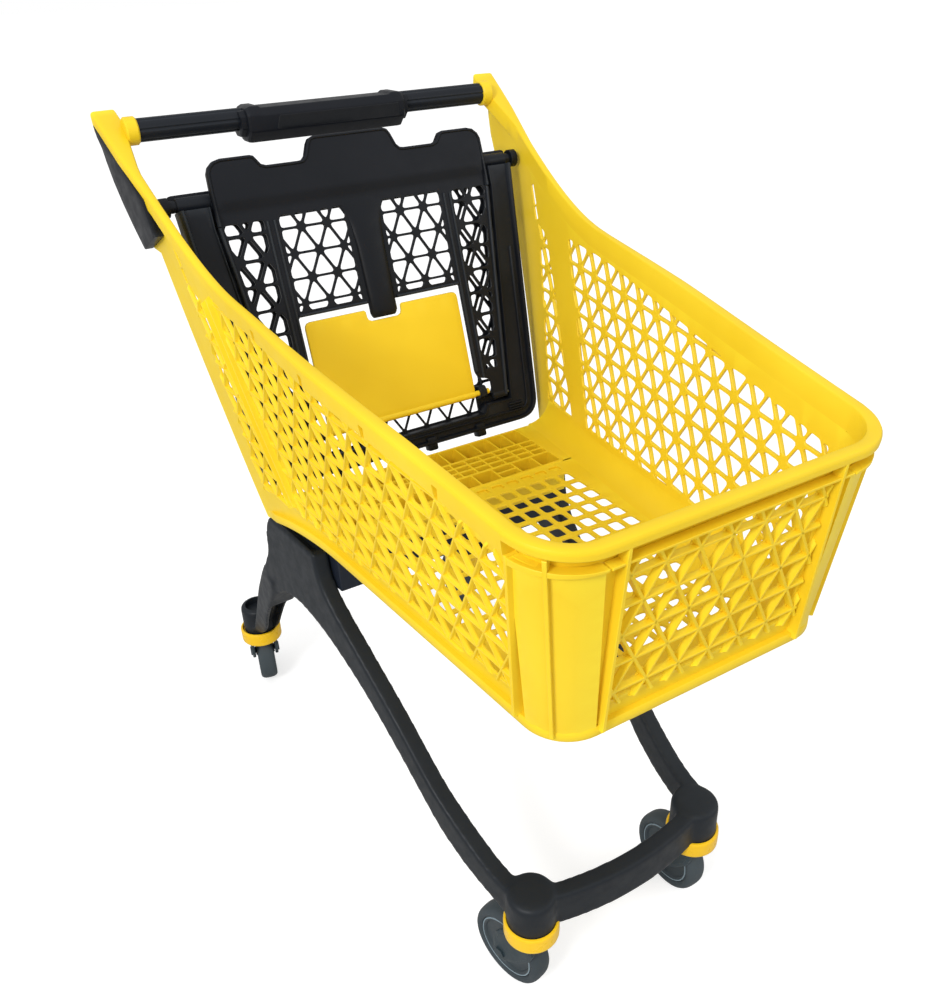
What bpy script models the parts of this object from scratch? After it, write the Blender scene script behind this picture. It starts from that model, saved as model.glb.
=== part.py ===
"""Plastic supermarket shopping cart: a moulded basket with swept-up arms on a moulded frame with four
swivel casters, a nesting gate, a folding child seat and a cross handle.

Drawing frame, in metres: X across the cart, -Y towards its front, Z up from the floor.
Everything hangs from one empty that brings the middle of the overall length to the origin.
"""

from math import atan, cos, exp, hypot, pi, radians, sin

import bmesh
import bpy
from mathutils import Matrix, Vector

GAP = 0.0003
SHARP_ANGLE = radians(35)
MIDDLE_Y = 0.0458  # middle of the overall length, in the drawing frame

# Basket: outer line of the walls at the skirt (lower edge) and at the rim (upper edge)
SKIRT_FRONT = (0.173, -0.411, 0.525)  # half width, y and z of the front corner
RIM_FRONT = (0.198, -0.447, 0.757)
SKIRT_FLARE = 0.1057  # widening per metre towards the rear
RIM_FLARE = 0.1142
SKIRT_REAR_Y = 0.200
RIM_REAR_Y = 0.304
RIM_DEPTH = 0.026
ARM_LINES = [  # points (y, z) up the arm's rear edge, each with the rim's y at the other end of its line
    ((0.4385, 0.9640), 0.4570),
    ((0.4350, 0.9480), 0.4420),
    ((0.4260, 0.9230), 0.4260),
    ((0.4100, 0.8960), 0.4100),
    ((0.3900, 0.8700), 0.3940),
    ((0.3680, 0.8450), 0.3780),
    ((0.3440, 0.8430), 0.3620),
    ((0.3030, 0.7400), 0.3460),
    ((0.2540, 0.6200), 0.3300),
    ((0.2050, 0.4950), 0.3140),
]
CORNER_R = 0.060
SIDE_STEPS = 14
CORNER_STEPS = 7
FLOOR_TOP = 0.527
FLOOR_THICK = 0.004
FLOOR_REAR_Y = 0.185
WALL_INNER = -0.008  # distances outwards from the outer line
WALL_OUTER = -0.003
RIM_OUT = (0.008, 0.003, 0.007)  # at the front, over the rear half and on the arms
ARM_IN = -0.026
RIM_BULGE = 0.004

# Rear box under the floor, which sits on the cross beam
BOX_HALF_X = 0.172
BOX_Y = (0.060, 0.185)
BOX_BOTTOM = 0.4790
BOX_WALL = 0.004
BOX_POCKETS = (6, 3)

# Handle
HANDLE_Y = 0.417
HANDLE_Z = 0.985
HANDLE_R = 0.0148
SOCKET_R = 0.0178
SOCKET_X = 0.260
MODULE_HALF_X = 0.115

# Gate, in its own plane: x across, v up the gate, n out of its face into the basket
ROD_Y = 0.334
ROD_Z = 0.900
ROD_R = 0.008
ROD_END = 0.2690
STOP = (0.3242, 0.8183)
STOP_END = 0.2580
GATE_LEAN = radians(17.17)
GATE_FACE_N = 0.022
GATE_BACK_N = -0.008
GATE_BOTTOM_V = -0.391
GATE_TOP_HALF = 0.250
GATE_BOTTOM_HALF = 0.226
GATE_SKIN = 0.0035
SILL_V = -0.3335
SILL_N = 0.0125

# Child seat
SEAT_N = (0.0115, 0.0175)
SEAT_PIVOT_V = -0.342
SEAT_PIVOT_N = 0.0130
FLAP_N = (0.0100, 0.0160)
FLAP_HALF_X = 0.121
FLAP_TOP_V = -0.176

# Casters
FRONT_CASTER = (0.131, -0.302)
REAR_CASTER = (0.212, 0.457)
WHEEL_R = 0.0554
TRAIL = 0.034
RING_Z = (0.1115, 0.1365)
RING_R = 0.035
BOSS_R = 0.031
BOSS_BOTTOM = 0.1288
CASTER_YAW = {"front_left": 0.229, "front_right": 0.03, "rear_left": -0.232, "rear_right": -0.12}

# Frame
FRAME_X = 0.1954  # half width of the side frames' outer faces at y = 0
FRAME_FLARE = 0.1364
FRAME_FLARE_END_Y = 0.28
BAR_Y = -0.318
BAR_BOW = 0.020
BAR_THICK = 0.024
BAR_Z = (0.129, 0.180)
BEAM_Z = (0.416, 0.4785)
BEAM_Y = (0.085, 0.200)
BOLT_X = (-0.12, 0.12)
BOLT_Y = (0.105, 0.164)

COLOURS = {
    "yellow_plastic": ((0.86, 0.62, 0.012), 0.38, 0.0),
    "bumper_yellow": ((0.90, 0.56, 0.006), 0.35, 0.0),
    "black_plastic": ((0.016, 0.017, 0.021), 0.45, 0.0),
    "frame_plastic": ((0.028, 0.032, 0.038), 0.50, 0.0),
    "beam_paint": ((0.030, 0.036, 0.048), 0.45, 0.0),
    "caster_plastic": ((0.052, 0.075, 0.085), 0.45, 0.0),
    "tyre_rubber": ((0.070, 0.088, 0.096), 0.60, 0.0),
    "zinc_steel": ((0.55, 0.56, 0.58), 0.35, 1.0),
}


# ---------------------------------------------------------------- scene helpers


def clear_scene():
    for obj in list(bpy.data.objects):
        bpy.data.objects.remove(obj, do_unlink=True)


def collection(name):
    made = bpy.data.collections.new(name)
    bpy.context.scene.collection.children.link(made)
    return made


def finish(slot):
    """The shared material of one colour."""
    if slot in bpy.data.materials:
        return bpy.data.materials[slot]
    colour, roughness, metallic = COLOURS[slot]
    made = bpy.data.materials.new(slot)
    made.use_nodes = True
    shader = made.node_tree.nodes["Principled BSDF"]
    shader.inputs["Base Color"].default_value = (*colour, 1.0)
    shader.inputs["Roughness"].default_value = roughness
    shader.inputs["Metallic"].default_value = metallic
    made.diffuse_color = (*colour, 1.0)
    return made


def add(name, mesh, slot, parent):
    obj = bpy.data.objects.new(name, mesh)
    PARTS.objects.link(obj)
    obj.parent = parent
    if slot not in mesh.materials:
        mesh.materials.append(finish(slot))
    return obj


def tool(name, mesh, parent):
    """A solid that is only cut from, or joined to, another one."""
    obj = bpy.data.objects.new(name, mesh)
    TOOLS.objects.link(obj)
    obj.parent = parent
    obj.hide_render = True
    obj.display_type = "WIRE"
    return obj


def empty(name, parent, location, rotation=(0, 0, 0)):
    obj = bpy.data.objects.new(name, None)
    PARTS.objects.link(obj)
    obj.parent = parent
    obj.location = location
    obj.rotation_euler = rotation
    return obj


def boolean(target, operation, mesh):
    other = tool(f"{target.name}.{operation.lower()}.{len(target.modifiers)}", mesh, target.parent)
    other.location = target.location
    modifier = target.modifiers.new(operation.title(), "BOOLEAN")
    modifier.operation = operation
    modifier.solver = "EXACT"
    modifier.object = other


def join(target, *meshes):
    for mesh in meshes:
        boolean(target, "UNION", mesh)


def cut(target, *meshes):
    for mesh in meshes:
        boolean(target, "DIFFERENCE", mesh)


def to_mesh(name, bm):
    bm.normal_update()
    bmesh.ops.recalc_face_normals(bm, faces=bm.faces)
    mesh = bpy.data.meshes.new(name)
    bm.to_mesh(mesh)
    bm.free()
    mesh.shade_smooth()
    mesh.set_sharp_from_angle(angle=SHARP_ANGLE)
    return mesh


# ---------------------------------------------------------------- shape helpers


def prism(name, ring, other_ring):
    """A solid between two matching closed rings of points."""
    bm = bmesh.new()
    first = [bm.verts.new(point) for point in ring]
    second = [bm.verts.new(point) for point in other_ring]
    caps = [bm.faces.new(first), bm.faces.new(list(reversed(second)))]
    for i in range(len(first)):
        j = (i + 1) % len(first)
        bm.faces.new((first[i], second[i], second[j], first[j]))
    bm.normal_update()
    bmesh.ops.triangulate(bm, faces=caps)
    return to_mesh(name, bm)


def filled_outline(name, outline, thickness):
    """A flat closed outline filled and thickened about z = 0, as a welded mesh."""
    curve = bpy.data.curves.new(name, "CURVE")
    curve.dimensions = "2D"
    curve.fill_mode = "BOTH"
    curve.extrude = thickness / 2
    spline = curve.splines.new("POLY")
    spline.points.add(len(outline) - 1)
    for point, (x, y) in zip(spline.points, outline):
        point.co = (x, y, 0, 1)
    spline.use_cyclic_u = True
    guide = bpy.data.objects.new(name, curve)
    TOOLS.objects.link(guide)
    bpy.context.view_layer.update()
    graph = bpy.context.evaluated_depsgraph_get()
    mesh = bpy.data.meshes.new_from_object(guide.evaluated_get(graph))
    bpy.data.objects.remove(guide, do_unlink=True)
    bm = bmesh.new()
    bm.from_mesh(mesh)
    bmesh.ops.remove_doubles(bm, verts=bm.verts, dist=0.00002)
    for layer in (-1, 1):
        cap = [face for face in bm.faces if all(vert.co.z * layer > 0 for vert in face.verts)]
        bmesh.ops.dissolve_faces(bm, faces=cap)
    bm.normal_update()
    bmesh.ops.triangulate(bm, faces=[face for face in bm.faces if abs(face.normal.z) > 0.9])
    return bm


def side_slab(name, side, outline, outer, inner):
    """A side piece over an outline of (y, z) points, between two half widths given as functions."""
    bm = filled_outline(name, outline, 0.01)
    for vert in bm.verts:
        y, z, layer = vert.co
        face = outer if layer > 0 else inner
        vert.co = (side * face(y, z), y, z)
    return to_mesh(name, bm)


def plate(name, outline, low, high):
    """A flat plate over an outline of (x, y) points, from one height to another."""
    bm = filled_outline(name, outline, high - low)
    bmesh.ops.translate(bm, verts=bm.verts, vec=(0, 0, (low + high) / 2))
    return to_mesh(name, bm)


def box(name, low, high):
    bm = bmesh.new()
    bmesh.ops.create_cube(bm, size=1)
    for vert in bm.verts:
        vert.co = [low[i] + (high[i] - low[i]) * (vert.co[i] + 0.5) for i in range(3)]
    return to_mesh(name, bm)


def side_box(name, side, low, high):
    """A box on the right (side 1) or its mirror image on the left (side -1)."""
    near, far = sorted((side * low[0], side * high[0]))
    return box(name, (near, *low[1:]), (far, *high[1:]))


def rod(name, start, end, radius, segments=20):
    """A cylinder between two points."""
    start = Vector(start)
    end = Vector(end)
    turn = (end - start).to_track_quat("Z", "Y").to_matrix().to_4x4()
    bm = bmesh.new()
    bmesh.ops.create_cone(
        bm,
        cap_ends=True,
        segments=segments,
        radius1=radius,
        radius2=radius,
        depth=(end - start).length,
        matrix=Matrix.Translation((start + end) / 2) @ turn,
    )
    return to_mesh(name, bm)


def turned(obj_name, slot, parent, profile, steps):
    """A ring turned about its local Z from a closed profile of (radius, height) points."""
    bm = bmesh.new()
    points = [bm.verts.new((radius, 0, height)) for radius, height in profile]
    for i in range(len(points)):
        bm.edges.new((points[i], points[(i + 1) % len(points)]))
    mesh = bpy.data.meshes.new(obj_name)
    bm.to_mesh(mesh)
    bm.free()
    obj = add(obj_name, mesh, slot, parent)
    screw = obj.modifiers.new("Turn", "SCREW")
    screw.steps = steps
    screw.render_steps = steps
    screw.use_merge_vertices = True
    screw.merge_threshold = 0.00001
    screw.use_smooth_shade = True
    return obj


def mirrored(outline):
    """Closes a right-hand outline with its mirror image across x = 0."""
    return outline + [(-x, y) for x, y in reversed(outline) if abs(x) > 1e-6]


def rounded(corner, before, after, radius, steps=4):
    """Points of an arc that rounds a corner of a flat outline."""
    corner = Vector(corner)
    to_before = (Vector(before) - corner).normalized()
    to_after = (Vector(after) - corner).normalized()
    half = to_before.angle(to_after) / 2
    middle = corner + (to_before + to_after).normalized() * radius / sin(half)
    start = corner + to_before * radius * cos(half) / sin(half) - middle
    end = corner + to_after * radius * cos(half) / sin(half) - middle
    points = []
    for i in range(steps + 1):
        spoke = (start * (steps - i) + end * i).normalized() * radius
        points.append(tuple(middle + spoke))
    return points


# ---------------------------------------------------------------- basket


def rim_z(y):
    """Height of the rim: a gentle slope that sweeps up into the arms."""
    lift = max(0.0, y - 0.1)
    return RIM_FRONT[2] + 0.1447 * (y - RIM_FRONT[1]) + 1.75 * lift**2 - 2.2 * lift**3


def blend(value, start, end):
    """0 to 1 as the value runs from start to end."""
    return min(1.0, max(0.0, (value - start) / (end - start)))


def rim_out(y):
    """How far the rim stands out of the walls' outer line."""
    front, rear, arm = RIM_OUT
    return front + (rear - front) * blend(y, -0.08, 0.08) + (arm - rear) * blend(y, 0.31, 0.38)


def rim_in(y):
    """Where the rim's inner face lies: flush with the wall, then growing inwards into the arms' beams."""
    return WALL_INNER + (ARM_IN - WALL_INNER) * blend(y, 0.35, 0.43)


def bulge(y):
    """The rim bows a little outwards in the middle of the sides."""
    return RIM_BULGE * exp(-(((y + 0.07) / 0.15) ** 2))


def skirt_z(y):
    """Height of the lower edge, which dips towards the rear."""
    drop = max(0.0, y + 0.02)
    return SKIRT_FRONT[2] + 0.008 - 0.008 * max(0.0, -y / 0.411) - 0.78 * drop**2


def wall_x(y, z):
    """Half width of the walls' outer line."""
    low = SKIRT_FRONT[0] + SKIRT_FLARE * (y - SKIRT_FRONT[1])
    high = RIM_FRONT[0] + RIM_FLARE * (y - RIM_FRONT[1]) + bulge(y)
    return low + (high - low) * (z - skirt_z(y)) / (rim_z(y) - skirt_z(y))


def wall_path(front, flare, rear_y, height):
    """Outer line at one level, from its right rear round the front: (point, outward direction)."""
    half, front_y = front[:2]
    side_angle = -atan(flare)
    centre_x = half + flare * CORNER_R - CORNER_R * hypot(1, flare)
    centre_y = front_y + CORNER_R
    tangent_y = centre_y + CORNER_R * sin(side_angle)
    path = []
    for i in range(SIDE_STEPS):
        y = rear_y + (tangent_y - rear_y) * i / SIDE_STEPS
        path.append((half + flare * (y - front_y), y, side_angle))
    for i in range(CORNER_STEPS + 1):
        angle = side_angle + (-pi / 2 - side_angle) * i / CORNER_STEPS
        path.append((centre_x + CORNER_R * cos(angle), centre_y + CORNER_R * sin(angle), angle))
    right = [(Vector((x, y, height(y))), Vector((cos(a), sin(a), 0))) for x, y, a in path]
    flip = Vector((-1, 1, 1))
    return right + [(point * flip, out * flip) for point, out in reversed(right)]


def wall_section(lip, y):
    """Section of the wall as (end, step up from that end, distance outwards), from inside round.
    The skirt's lip fades out at the rear edge."""
    lip_out = WALL_OUTER * (1 - lip)
    inner = rim_in(y)
    outer = rim_out(y)
    return [
        (0, 0.000, WALL_INNER),
        (0, 0.000, lip_out),
        (0, 0.012, lip_out),
        (0, 0.014, WALL_OUTER),
        (1, -RIM_DEPTH - 0.003, WALL_OUTER),
        (1, 0.002 - RIM_DEPTH, outer),
        (1, -0.003, outer),
        (1, 0.000, outer - 0.003),
        (1, 0.000, inner + 0.003),
        (1, -0.003, inner),
        (1, 0.003 - RIM_DEPTH, inner),
        (1, -RIM_DEPTH, WALL_INNER),
    ]


def wall_stations():
    """Lines from the lower edge to the rim: up the right arm's rear edge, round the front and back."""
    side_out = Vector((1, -RIM_FLARE, 0)).normalized()
    arm = []
    for (low_y, low_z), high_y in ARM_LINES:
        low = Vector((wall_x(low_y, low_z), low_y, low_z))
        high_z = rim_z(high_y)
        high = Vector((wall_x(high_y, high_z), high_y, high_z))
        arm.append((low, side_out, high, side_out, 0.0))
    lower = wall_path(SKIRT_FRONT, SKIRT_FLARE, SKIRT_REAR_Y, skirt_z)
    upper = wall_path(RIM_FRONT, RIM_FLARE, RIM_REAR_Y, rim_z)
    for point, out in upper:
        point += out * bulge(point.y)
    body = [(low, low_out, high, high_out, 1.0) for (low, low_out), (high, high_out) in zip(lower, upper)]
    flip = Vector((-1, 1, 1))
    other_arm = [(a * flip, b * flip, c * flip, d * flip, lip) for a, b, c, d, lip in reversed(arm)]
    return arm + body + other_arm


def wall_shell():
    """The walls, rim, skirt and arms, lofted round the basket."""
    bm = bmesh.new()
    rings = []
    for low, low_out, high, high_out, lip in wall_stations():
        rise = high.z - low.z
        ring = []
        for end, step, out in wall_section(lip, high.y):
            share = end + step / rise
            direction = low_out.lerp(high_out, share)
            ring.append(bm.verts.new(low.lerp(high, share) + direction * out))
        rings.append(ring)
    count = len(rings[0])
    for before, after in zip(rings, rings[1:]):
        for i in range(count):
            j = (i + 1) % count
            bm.faces.new((before[i], before[j], after[j], after[i]))
    caps = [bm.faces.new(rings[0]), bm.faces.new(rings[-1])]
    bm.normal_update()
    bmesh.ops.triangulate(bm, faces=caps)
    return to_mesh("basket", bm)


def floor_plate():
    """The basket floor, which ends inside the walls."""
    inset = 0.006
    path = wall_path(SKIRT_FRONT, SKIRT_FLARE, FLOOR_REAR_Y, lambda y: 0.0)
    outline = [(point - out * inset).xy[:] for point, out in path]
    return plate("floor", outline, FLOOR_TOP - FLOOR_THICK, FLOOR_TOP)


def add_basket(parent):
    basket = add("basket", wall_shell(), "yellow_plastic", parent)
    join(basket, floor_plate())
    box_low = (-BOX_HALF_X, BOX_Y[0], BOX_BOTTOM)
    join(basket, box("rear_box", box_low, (BOX_HALF_X, BOX_Y[1], FLOOR_TOP - 0.001)))
    for side in (-1, 1):
        join(basket, rod("rod_boss", (side * ROD_END, ROD_Y, ROD_Z), (side * 0.282, ROD_Y, ROD_Z), 0.015, 20))
        join(basket, rod("stop_boss", (side * STOP_END, *STOP), (side * 0.272, *STOP), 0.008, 14))
    columns, rows = BOX_POCKETS
    width = (2 * BOX_HALF_X - BOX_WALL) / columns
    depth = (BOX_Y[1] - BOX_Y[0] - BOX_WALL) / rows
    for column in range(columns):
        for row in range(rows):
            x = -BOX_HALF_X + BOX_WALL + column * width
            y = BOX_Y[0] + BOX_WALL + row * depth
            low = (x, y, BOX_BOTTOM + BOX_WALL)
            high = (x + width - BOX_WALL, y + depth - BOX_WALL, FLOOR_TOP + 0.01)
            cut(basket, box("pocket", low, high))
    for x in BOLT_X:
        for y in BOLT_Y:
            cut(basket, rod("bolt_hole", (x, y, BOX_BOTTOM - 0.01), (x, y, BOX_BOTTOM + 0.01), 0.0045, 12))
    return basket


def cover_outline():
    """Outline (y, z) of an arm's black cover: under the beam, and along the arm's rear edge."""
    below_beam = []
    for y in (0.330, 0.346, 0.362, 0.378, 0.394, 0.410):
        below_beam.append((y + 0.014, rim_z(y + 0.014) - RIM_DEPTH - 0.0075))
    rear = [low for low, high in ARM_LINES[1:6]]
    return [(0.309, 0.880), (0.320, 0.8915)] + below_beam + rear


def add_arm_covers(parent):
    """Black covers on the outer side of the arms' rear edge."""
    for side, label in ((-1, "left"), (1, "right")):
        mesh = side_slab(
            "arm_cover",
            side,
            cover_outline(),
            lambda y, z: wall_x(y, z) + RIM_OUT[2] - 0.003,
            lambda y, z: wall_x(y, z) + WALL_OUTER + 0.0023,
        )
        add(f"arm_cover_{label}", mesh, "black_plastic", parent)


# ---------------------------------------------------------------- handle


def add_handle(parent):
    """The tube, and the sockets that hold it against the arms' slanted inner faces."""
    half = wall_x(HANDLE_Y, HANDLE_Z) + rim_in(HANDLE_Y)
    centre = (HANDLE_Y, HANDLE_Z)
    tube = rod("handle_tube", (-half + 0.004, *centre), (half - 0.004, *centre), HANDLE_R, 24)
    add("handle_tube", tube, "black_plastic", parent)
    for side, label in ((-1, "left"), (1, "right")):
        blank = rod("socket", (side * SOCKET_X, *centre), (side * (half + 0.006), *centre), SOCKET_R, 24)
        socket = add(f"handle_socket_{label}", blank, "yellow_plastic", parent)
        outline = [(0.38, 0.95), (0.38, 1.02), (0.45, 1.02), (0.45, 0.95)]
        arm = side_slab(
            "arm_face",
            side,
            outline,
            lambda y, z: 0.32,
            lambda y, z: half - 0.055 * abs(y - HANDLE_Y) - 0.0012,
        )
        cut(socket, arm, rod("bore", (side * 0.24, *centre), (side * 0.33, *centre), HANDLE_R + 0.0006, 24))


def module_half(name, rises, parent):
    """One half of the moulded block in the middle of the handle, split at the tube's axis."""
    outline = [(rise_y, rise_z) for rise_y, rise_z in rises]
    rings = []
    for x in (-MODULE_HALF_X, MODULE_HALF_X):
        rings.append([(x, HANDLE_Y + y, HANDLE_Z + z) for y, z in outline])
    half = add(name, prism(name, *rings), "black_plastic", parent)
    for side in (-1, 1):
        ends = [(side * 0.110, HANDLE_Y + y * 0.9, HANDLE_Z + z * 0.9) for y, z in outline]
        caps = [(side * 0.125, HANDLE_Y + y * 0.78, HANDLE_Z + z * 0.78) for y, z in outline]
        join(half, prism("module_end", ends, caps))
    bore = rod(
        "module_bore",
        (-0.14, HANDLE_Y, HANDLE_Z),
        (0.14, HANDLE_Y, HANDLE_Z),
        HANDLE_R + 0.0006,
        24,
    )
    cut(half, bore)
    return half


def add_handle_module(parent):
    top = [(-0.029, 0.0002), (-0.029, 0.006), (-0.021, 0.0158)]
    top += [(0.017, 0.0158), (0.027, 0.008), (0.027, 0.0002)]
    bottom = [(-0.029, -0.0002), (0.027, -0.0002), (0.025, -0.016)]
    bottom += [(0.012, -0.030), (-0.014, -0.030), (-0.029, -0.015)]
    module_half("handle_module_top", top, parent)
    lower = module_half("handle_module_bottom", bottom, parent)
    # The label pad lies in a shallow recess in the sloping lower front face.
    start = Vector((0, -0.029, -0.015))
    end = Vector((0, -0.014, -0.030))
    along = (end - start).normalized()
    out = Vector((0, -along.z, along.y))
    if out.y > 0:
        out = -out
    for name, grow, low, high in (("recess", 0.0004, -0.0016, 0.004), ("pad", 0.0, -0.0012, 0.0)):
        middle = Vector((0, HANDLE_Y, HANDLE_Z)) + (start + end) / 2
        reach = (end - start).length * 0.40 + grow
        corners = []
        for x, a in ((-0.09, -1), (0.09, -1), (0.09, 1), (-0.09, 1)):
            corners.append(middle + Vector((x + (grow if x > 0 else -grow), 0, 0)) + along * reach * a)
        mesh = prism(name, [c + out * low for c in corners], [c + out * high for c in corners])
        if name == "recess":
            cut(lower, mesh)
        else:
            add("handle_module_pad", mesh, "black_plastic", parent)


# ---------------------------------------------------------------- gate and child seat


def seat_half(v):
    """Half width of the child seat's back."""
    return 0.206 - 0.0305 * max(0.0, (-0.0368 - v) / 0.3109)


def gate_half(v):
    return GATE_TOP_HALF + (GATE_BOTTOM_HALF - GATE_TOP_HALF) * (-0.02 - v) / 0.34


def gate_outline(inset):
    """Outer outline of the gate's border (right half, from the top), brought in by an inset."""
    bottom = GATE_BOTTOM_V + inset
    corner = (gate_half(bottom) - inset, bottom)
    top = (gate_half(-0.008) - inset, -0.008)
    return [top] + rounded(corner, top, (0, bottom), 0.030 - inset) + [(0, bottom)]


def gate_opening(inset):
    """Inner outline of the border, open at its top (right half, from the bottom)."""
    foot_v = -0.352 - inset
    row_v = -0.3645 - inset
    inner = [(0, row_v), (0.130 + inset, row_v), (0.135 + inset, foot_v)]
    inner += [(seat_half(foot_v) + 0.003 + inset, foot_v), (seat_half(-0.0368) + 0.003 + inset, -0.0368)]
    return inner + [(seat_half(0) + 0.003 + inset, -0.008)]


def gate_border(name, inset, low, high):
    """The U-shaped border: outer outline down and round, inner outline back up, on both sides."""
    right_outer = gate_outline(inset)
    right_inner = gate_opening(inset)
    ring = right_inner[::-1][:-1] + [(0, right_inner[0][1])]
    ring += [(-x, v) for x, v in right_inner[1:]]
    outer = [(-x, v) for x, v in right_outer] + right_outer[::-1][1:]
    return plate(name, outer + ring, low, high)


def add_gate(parent):
    gate = add("rear_gate", gate_border("border", 0.0, GATE_BACK_N, GATE_FACE_N), "black_plastic", parent)
    cut(gate, gate_border("hollow", GATE_SKIN, GATE_BACK_N - 0.01, GATE_FACE_N - GATE_SKIN))
    web = [(0, -0.368), (0.137, -0.368), (seat_half(-0.355) + 0.006, -0.355), (0.216, -0.037), (0.216, -0.004)]
    join(gate, plate("web", mirrored(web), -0.004, 0.0))
    opening = [(0, -0.322), (0.135, -0.322), (0.135, -0.045), (0, -0.045)]
    cut(gate, plate("leg_opening", mirrored(opening), -0.02, 0.02))
    join(gate, box("sill", (-0.178, -0.3455, -0.0035), (0.178, -0.3225, 0.004)))
    for side in (-1, 1):
        join(gate, side_box("lug", side, (0.128, -0.3440, -0.002), (0.140, -0.3230, 0.0190)))
        join(gate, rod("sleeve", (side * 0.150, 0, 0), (side * 0.249, 0, 0), 0.0102, 20))
        join(gate, side_box("sleeve_root", side, (0.150, -0.030, -0.0038), (0.248, -0.004, 0.006)))
        for x in (0.032, 0.117):
            low = (side * x - 0.008, -0.3985, 0.006)
            join(gate, box("hook", low, (side * x + 0.008, -0.380, 0.0205)))
        pivot = (SEAT_PIVOT_V, SEAT_PIVOT_N)
        cut(gate, rod("pin_hole", (side * 0.170, *pivot), (side * 0.200, *pivot), 0.0027, 12))
    bar = []
    for sign in (1, -1):
        for i in range(7):
            angle = sign * pi / 2 - sign * pi * i / 6
            bar.append((sign * (0.2500 + 0.007 * cos(angle)), 0.0075 + 0.007 * sin(angle)))
    join(gate, plate("top_bar", bar, -0.0125, -0.005))
    cut(gate, rod("rod_bore", (-0.27, 0, 0), (0.27, 0, 0), ROD_R + 0.0008, 20))
    cut(gate, rod("flap_bore", (-0.16, SILL_V, SILL_N), (0.16, SILL_V, SILL_N), 0.0049, 16))
    return gate


def add_gate_hardware(parent):
    """The hinge rod with its bushes, and the stops behind the gate, all held by the basket."""
    reach = ROD_END - GAP
    centre = (ROD_Y, ROD_Z)
    hinge = rod("hinge_rod", (-reach, *centre), (reach, *centre), ROD_R, 20)
    add("hinge_rod", hinge, "black_plastic", parent)
    for side, label in ((-1, "left"), (1, "right")):
        blank = rod("bush", (side * 0.2582, *centre), (side * reach, *centre), 0.0125, 24)
        bush = add(f"hinge_bush_{label}", blank, "black_plastic", parent)
        cut(bush, rod("bush_bore", (side * 0.24, *centre), (side * 0.30, *centre), ROD_R + 0.0006, 24))
        pin = rod("stop", (side * 0.236, *STOP), (side * (STOP_END - GAP), *STOP), 0.006, 16)
        add(f"gate_stop_{label}", pin, "black_plastic", parent)


def add_seat_back(parent):
    """The backrest: an upside-down U with a wavy grip edge on top. Its origin is on its pivots."""
    top = [(0, 0.0626), (0.056, 0.0626), (0.062, 0.058), (0.070, 0.0363), (0.074, 0.0343)]
    top += [(0.128, 0.0343), (0.133, 0.038), (0.139, 0.0485)]
    top += [(0.187, 0.0485), (0.198, 0.0435), (0.2045, 0.034)]
    sides = [(0.206, -0.0138), (0.206, -0.0368), (seat_half(-0.3477), -0.3477)]
    window = [(0.150, -0.3477), (0.150, -0.317), (0.127, -0.307), (0.127, -0.1677), (0.021, -0.1677)]
    window += [(0.021, -0.1886), (0, -0.1886)]
    outline = [(x, v - SEAT_PIVOT_V) for x, v in top + sides + window]
    low, high = (n - SEAT_PIVOT_N for n in SEAT_N)
    back = add("seat_back", plate("seat_back", mirrored(outline), low, high), "black_plastic", parent)
    for side in (-1, 1):
        join(back, rod("knuckle", (side * 0.1510, 0, 0), (side * 0.1745, 0, 0), 0.0052, 16))
    cut(back, rod("pivot_bore", (-0.2, 0, 0), (0.2, 0, 0), 0.0028, 12))
    return back


def add_seat_pins(parent):
    for side, label in ((-1, "left"), (1, "right")):
        pin = rod("seat_pin", (side * 0.1525, 0, 0), (side * 0.1900, 0, 0), 0.0022, 12)
        obj = add(f"seat_pin_{label}", pin, "zinc_steel", parent)
        obj.location = (0, SEAT_PIVOT_V, SEAT_PIVOT_N)


def add_seat_flap(parent):
    """The leg-hole flap, which is the seat when it is down. Its origin is on its barrel."""
    top = FLAP_TOP_V - SILL_V
    outline = [(0, top - 0.0165), (0.022, top - 0.0165), (0.027, top - 0.0115), (0.027, top)]
    outline += rounded((FLAP_HALF_X, top), (0.027, top), (FLAP_HALF_X, 0), 0.008)
    outline += [(FLAP_HALF_X, 0.002), (0, 0.002)]
    low, high = (n - SILL_N for n in FLAP_N)
    flap = add("seat_flap", plate("seat_flap", mirrored(outline), low, high), "yellow_plastic", parent)
    join(flap, rod("barrel", (-FLAP_HALF_X, 0, 0), (FLAP_HALF_X, 0, 0), 0.0055, 16))
    join(flap, rod("stubs", (-0.146, 0, 0), (0.146, 0, 0), 0.0043, 16))
    return flap


# ---------------------------------------------------------------- frame


def frame_x(y, z=0):
    """Half width of a side frame's outer face, which is upright and so the same at every height."""
    return FRAME_X + FRAME_FLARE * min(y, FRAME_FLARE_END_Y)


def frame_thick(y):
    return 0.024 + 0.019 * blend(y, 0.245, 0.30)


FRAME_TOP_EDGE = [
    (-0.302, 0.180),
    (-0.250, 0.184),
    (-0.210, 0.197),
    (-0.170, 0.215),
    (-0.130, 0.239),
    (-0.060, 0.299),
    (0.020, 0.361),
    (0.070, 0.400),
    (0.098, 0.434),
    (0.106, 0.474),
]
FRAME_REAR_EDGE = [
    (0.228, 0.480),
    (0.243, 0.462),
    (0.249, 0.440),
    (0.253, 0.415),
    (0.268, 0.386),
    (0.298, 0.349),
    (0.318, 0.322),
]
FRAME_UNDER_EDGE = [
    (0.284, 0.290),
    (0.262, 0.318),
    (0.235, 0.343),
    (0.200, 0.357),
    (0.160, 0.359),
    (0.100, 0.344),
    (0.020, 0.304),
    (-0.060, 0.246),
    (-0.140, 0.180),
    (-0.180, 0.159),
    (-0.220, 0.146),
    (-0.302, 0.134),
]


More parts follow.
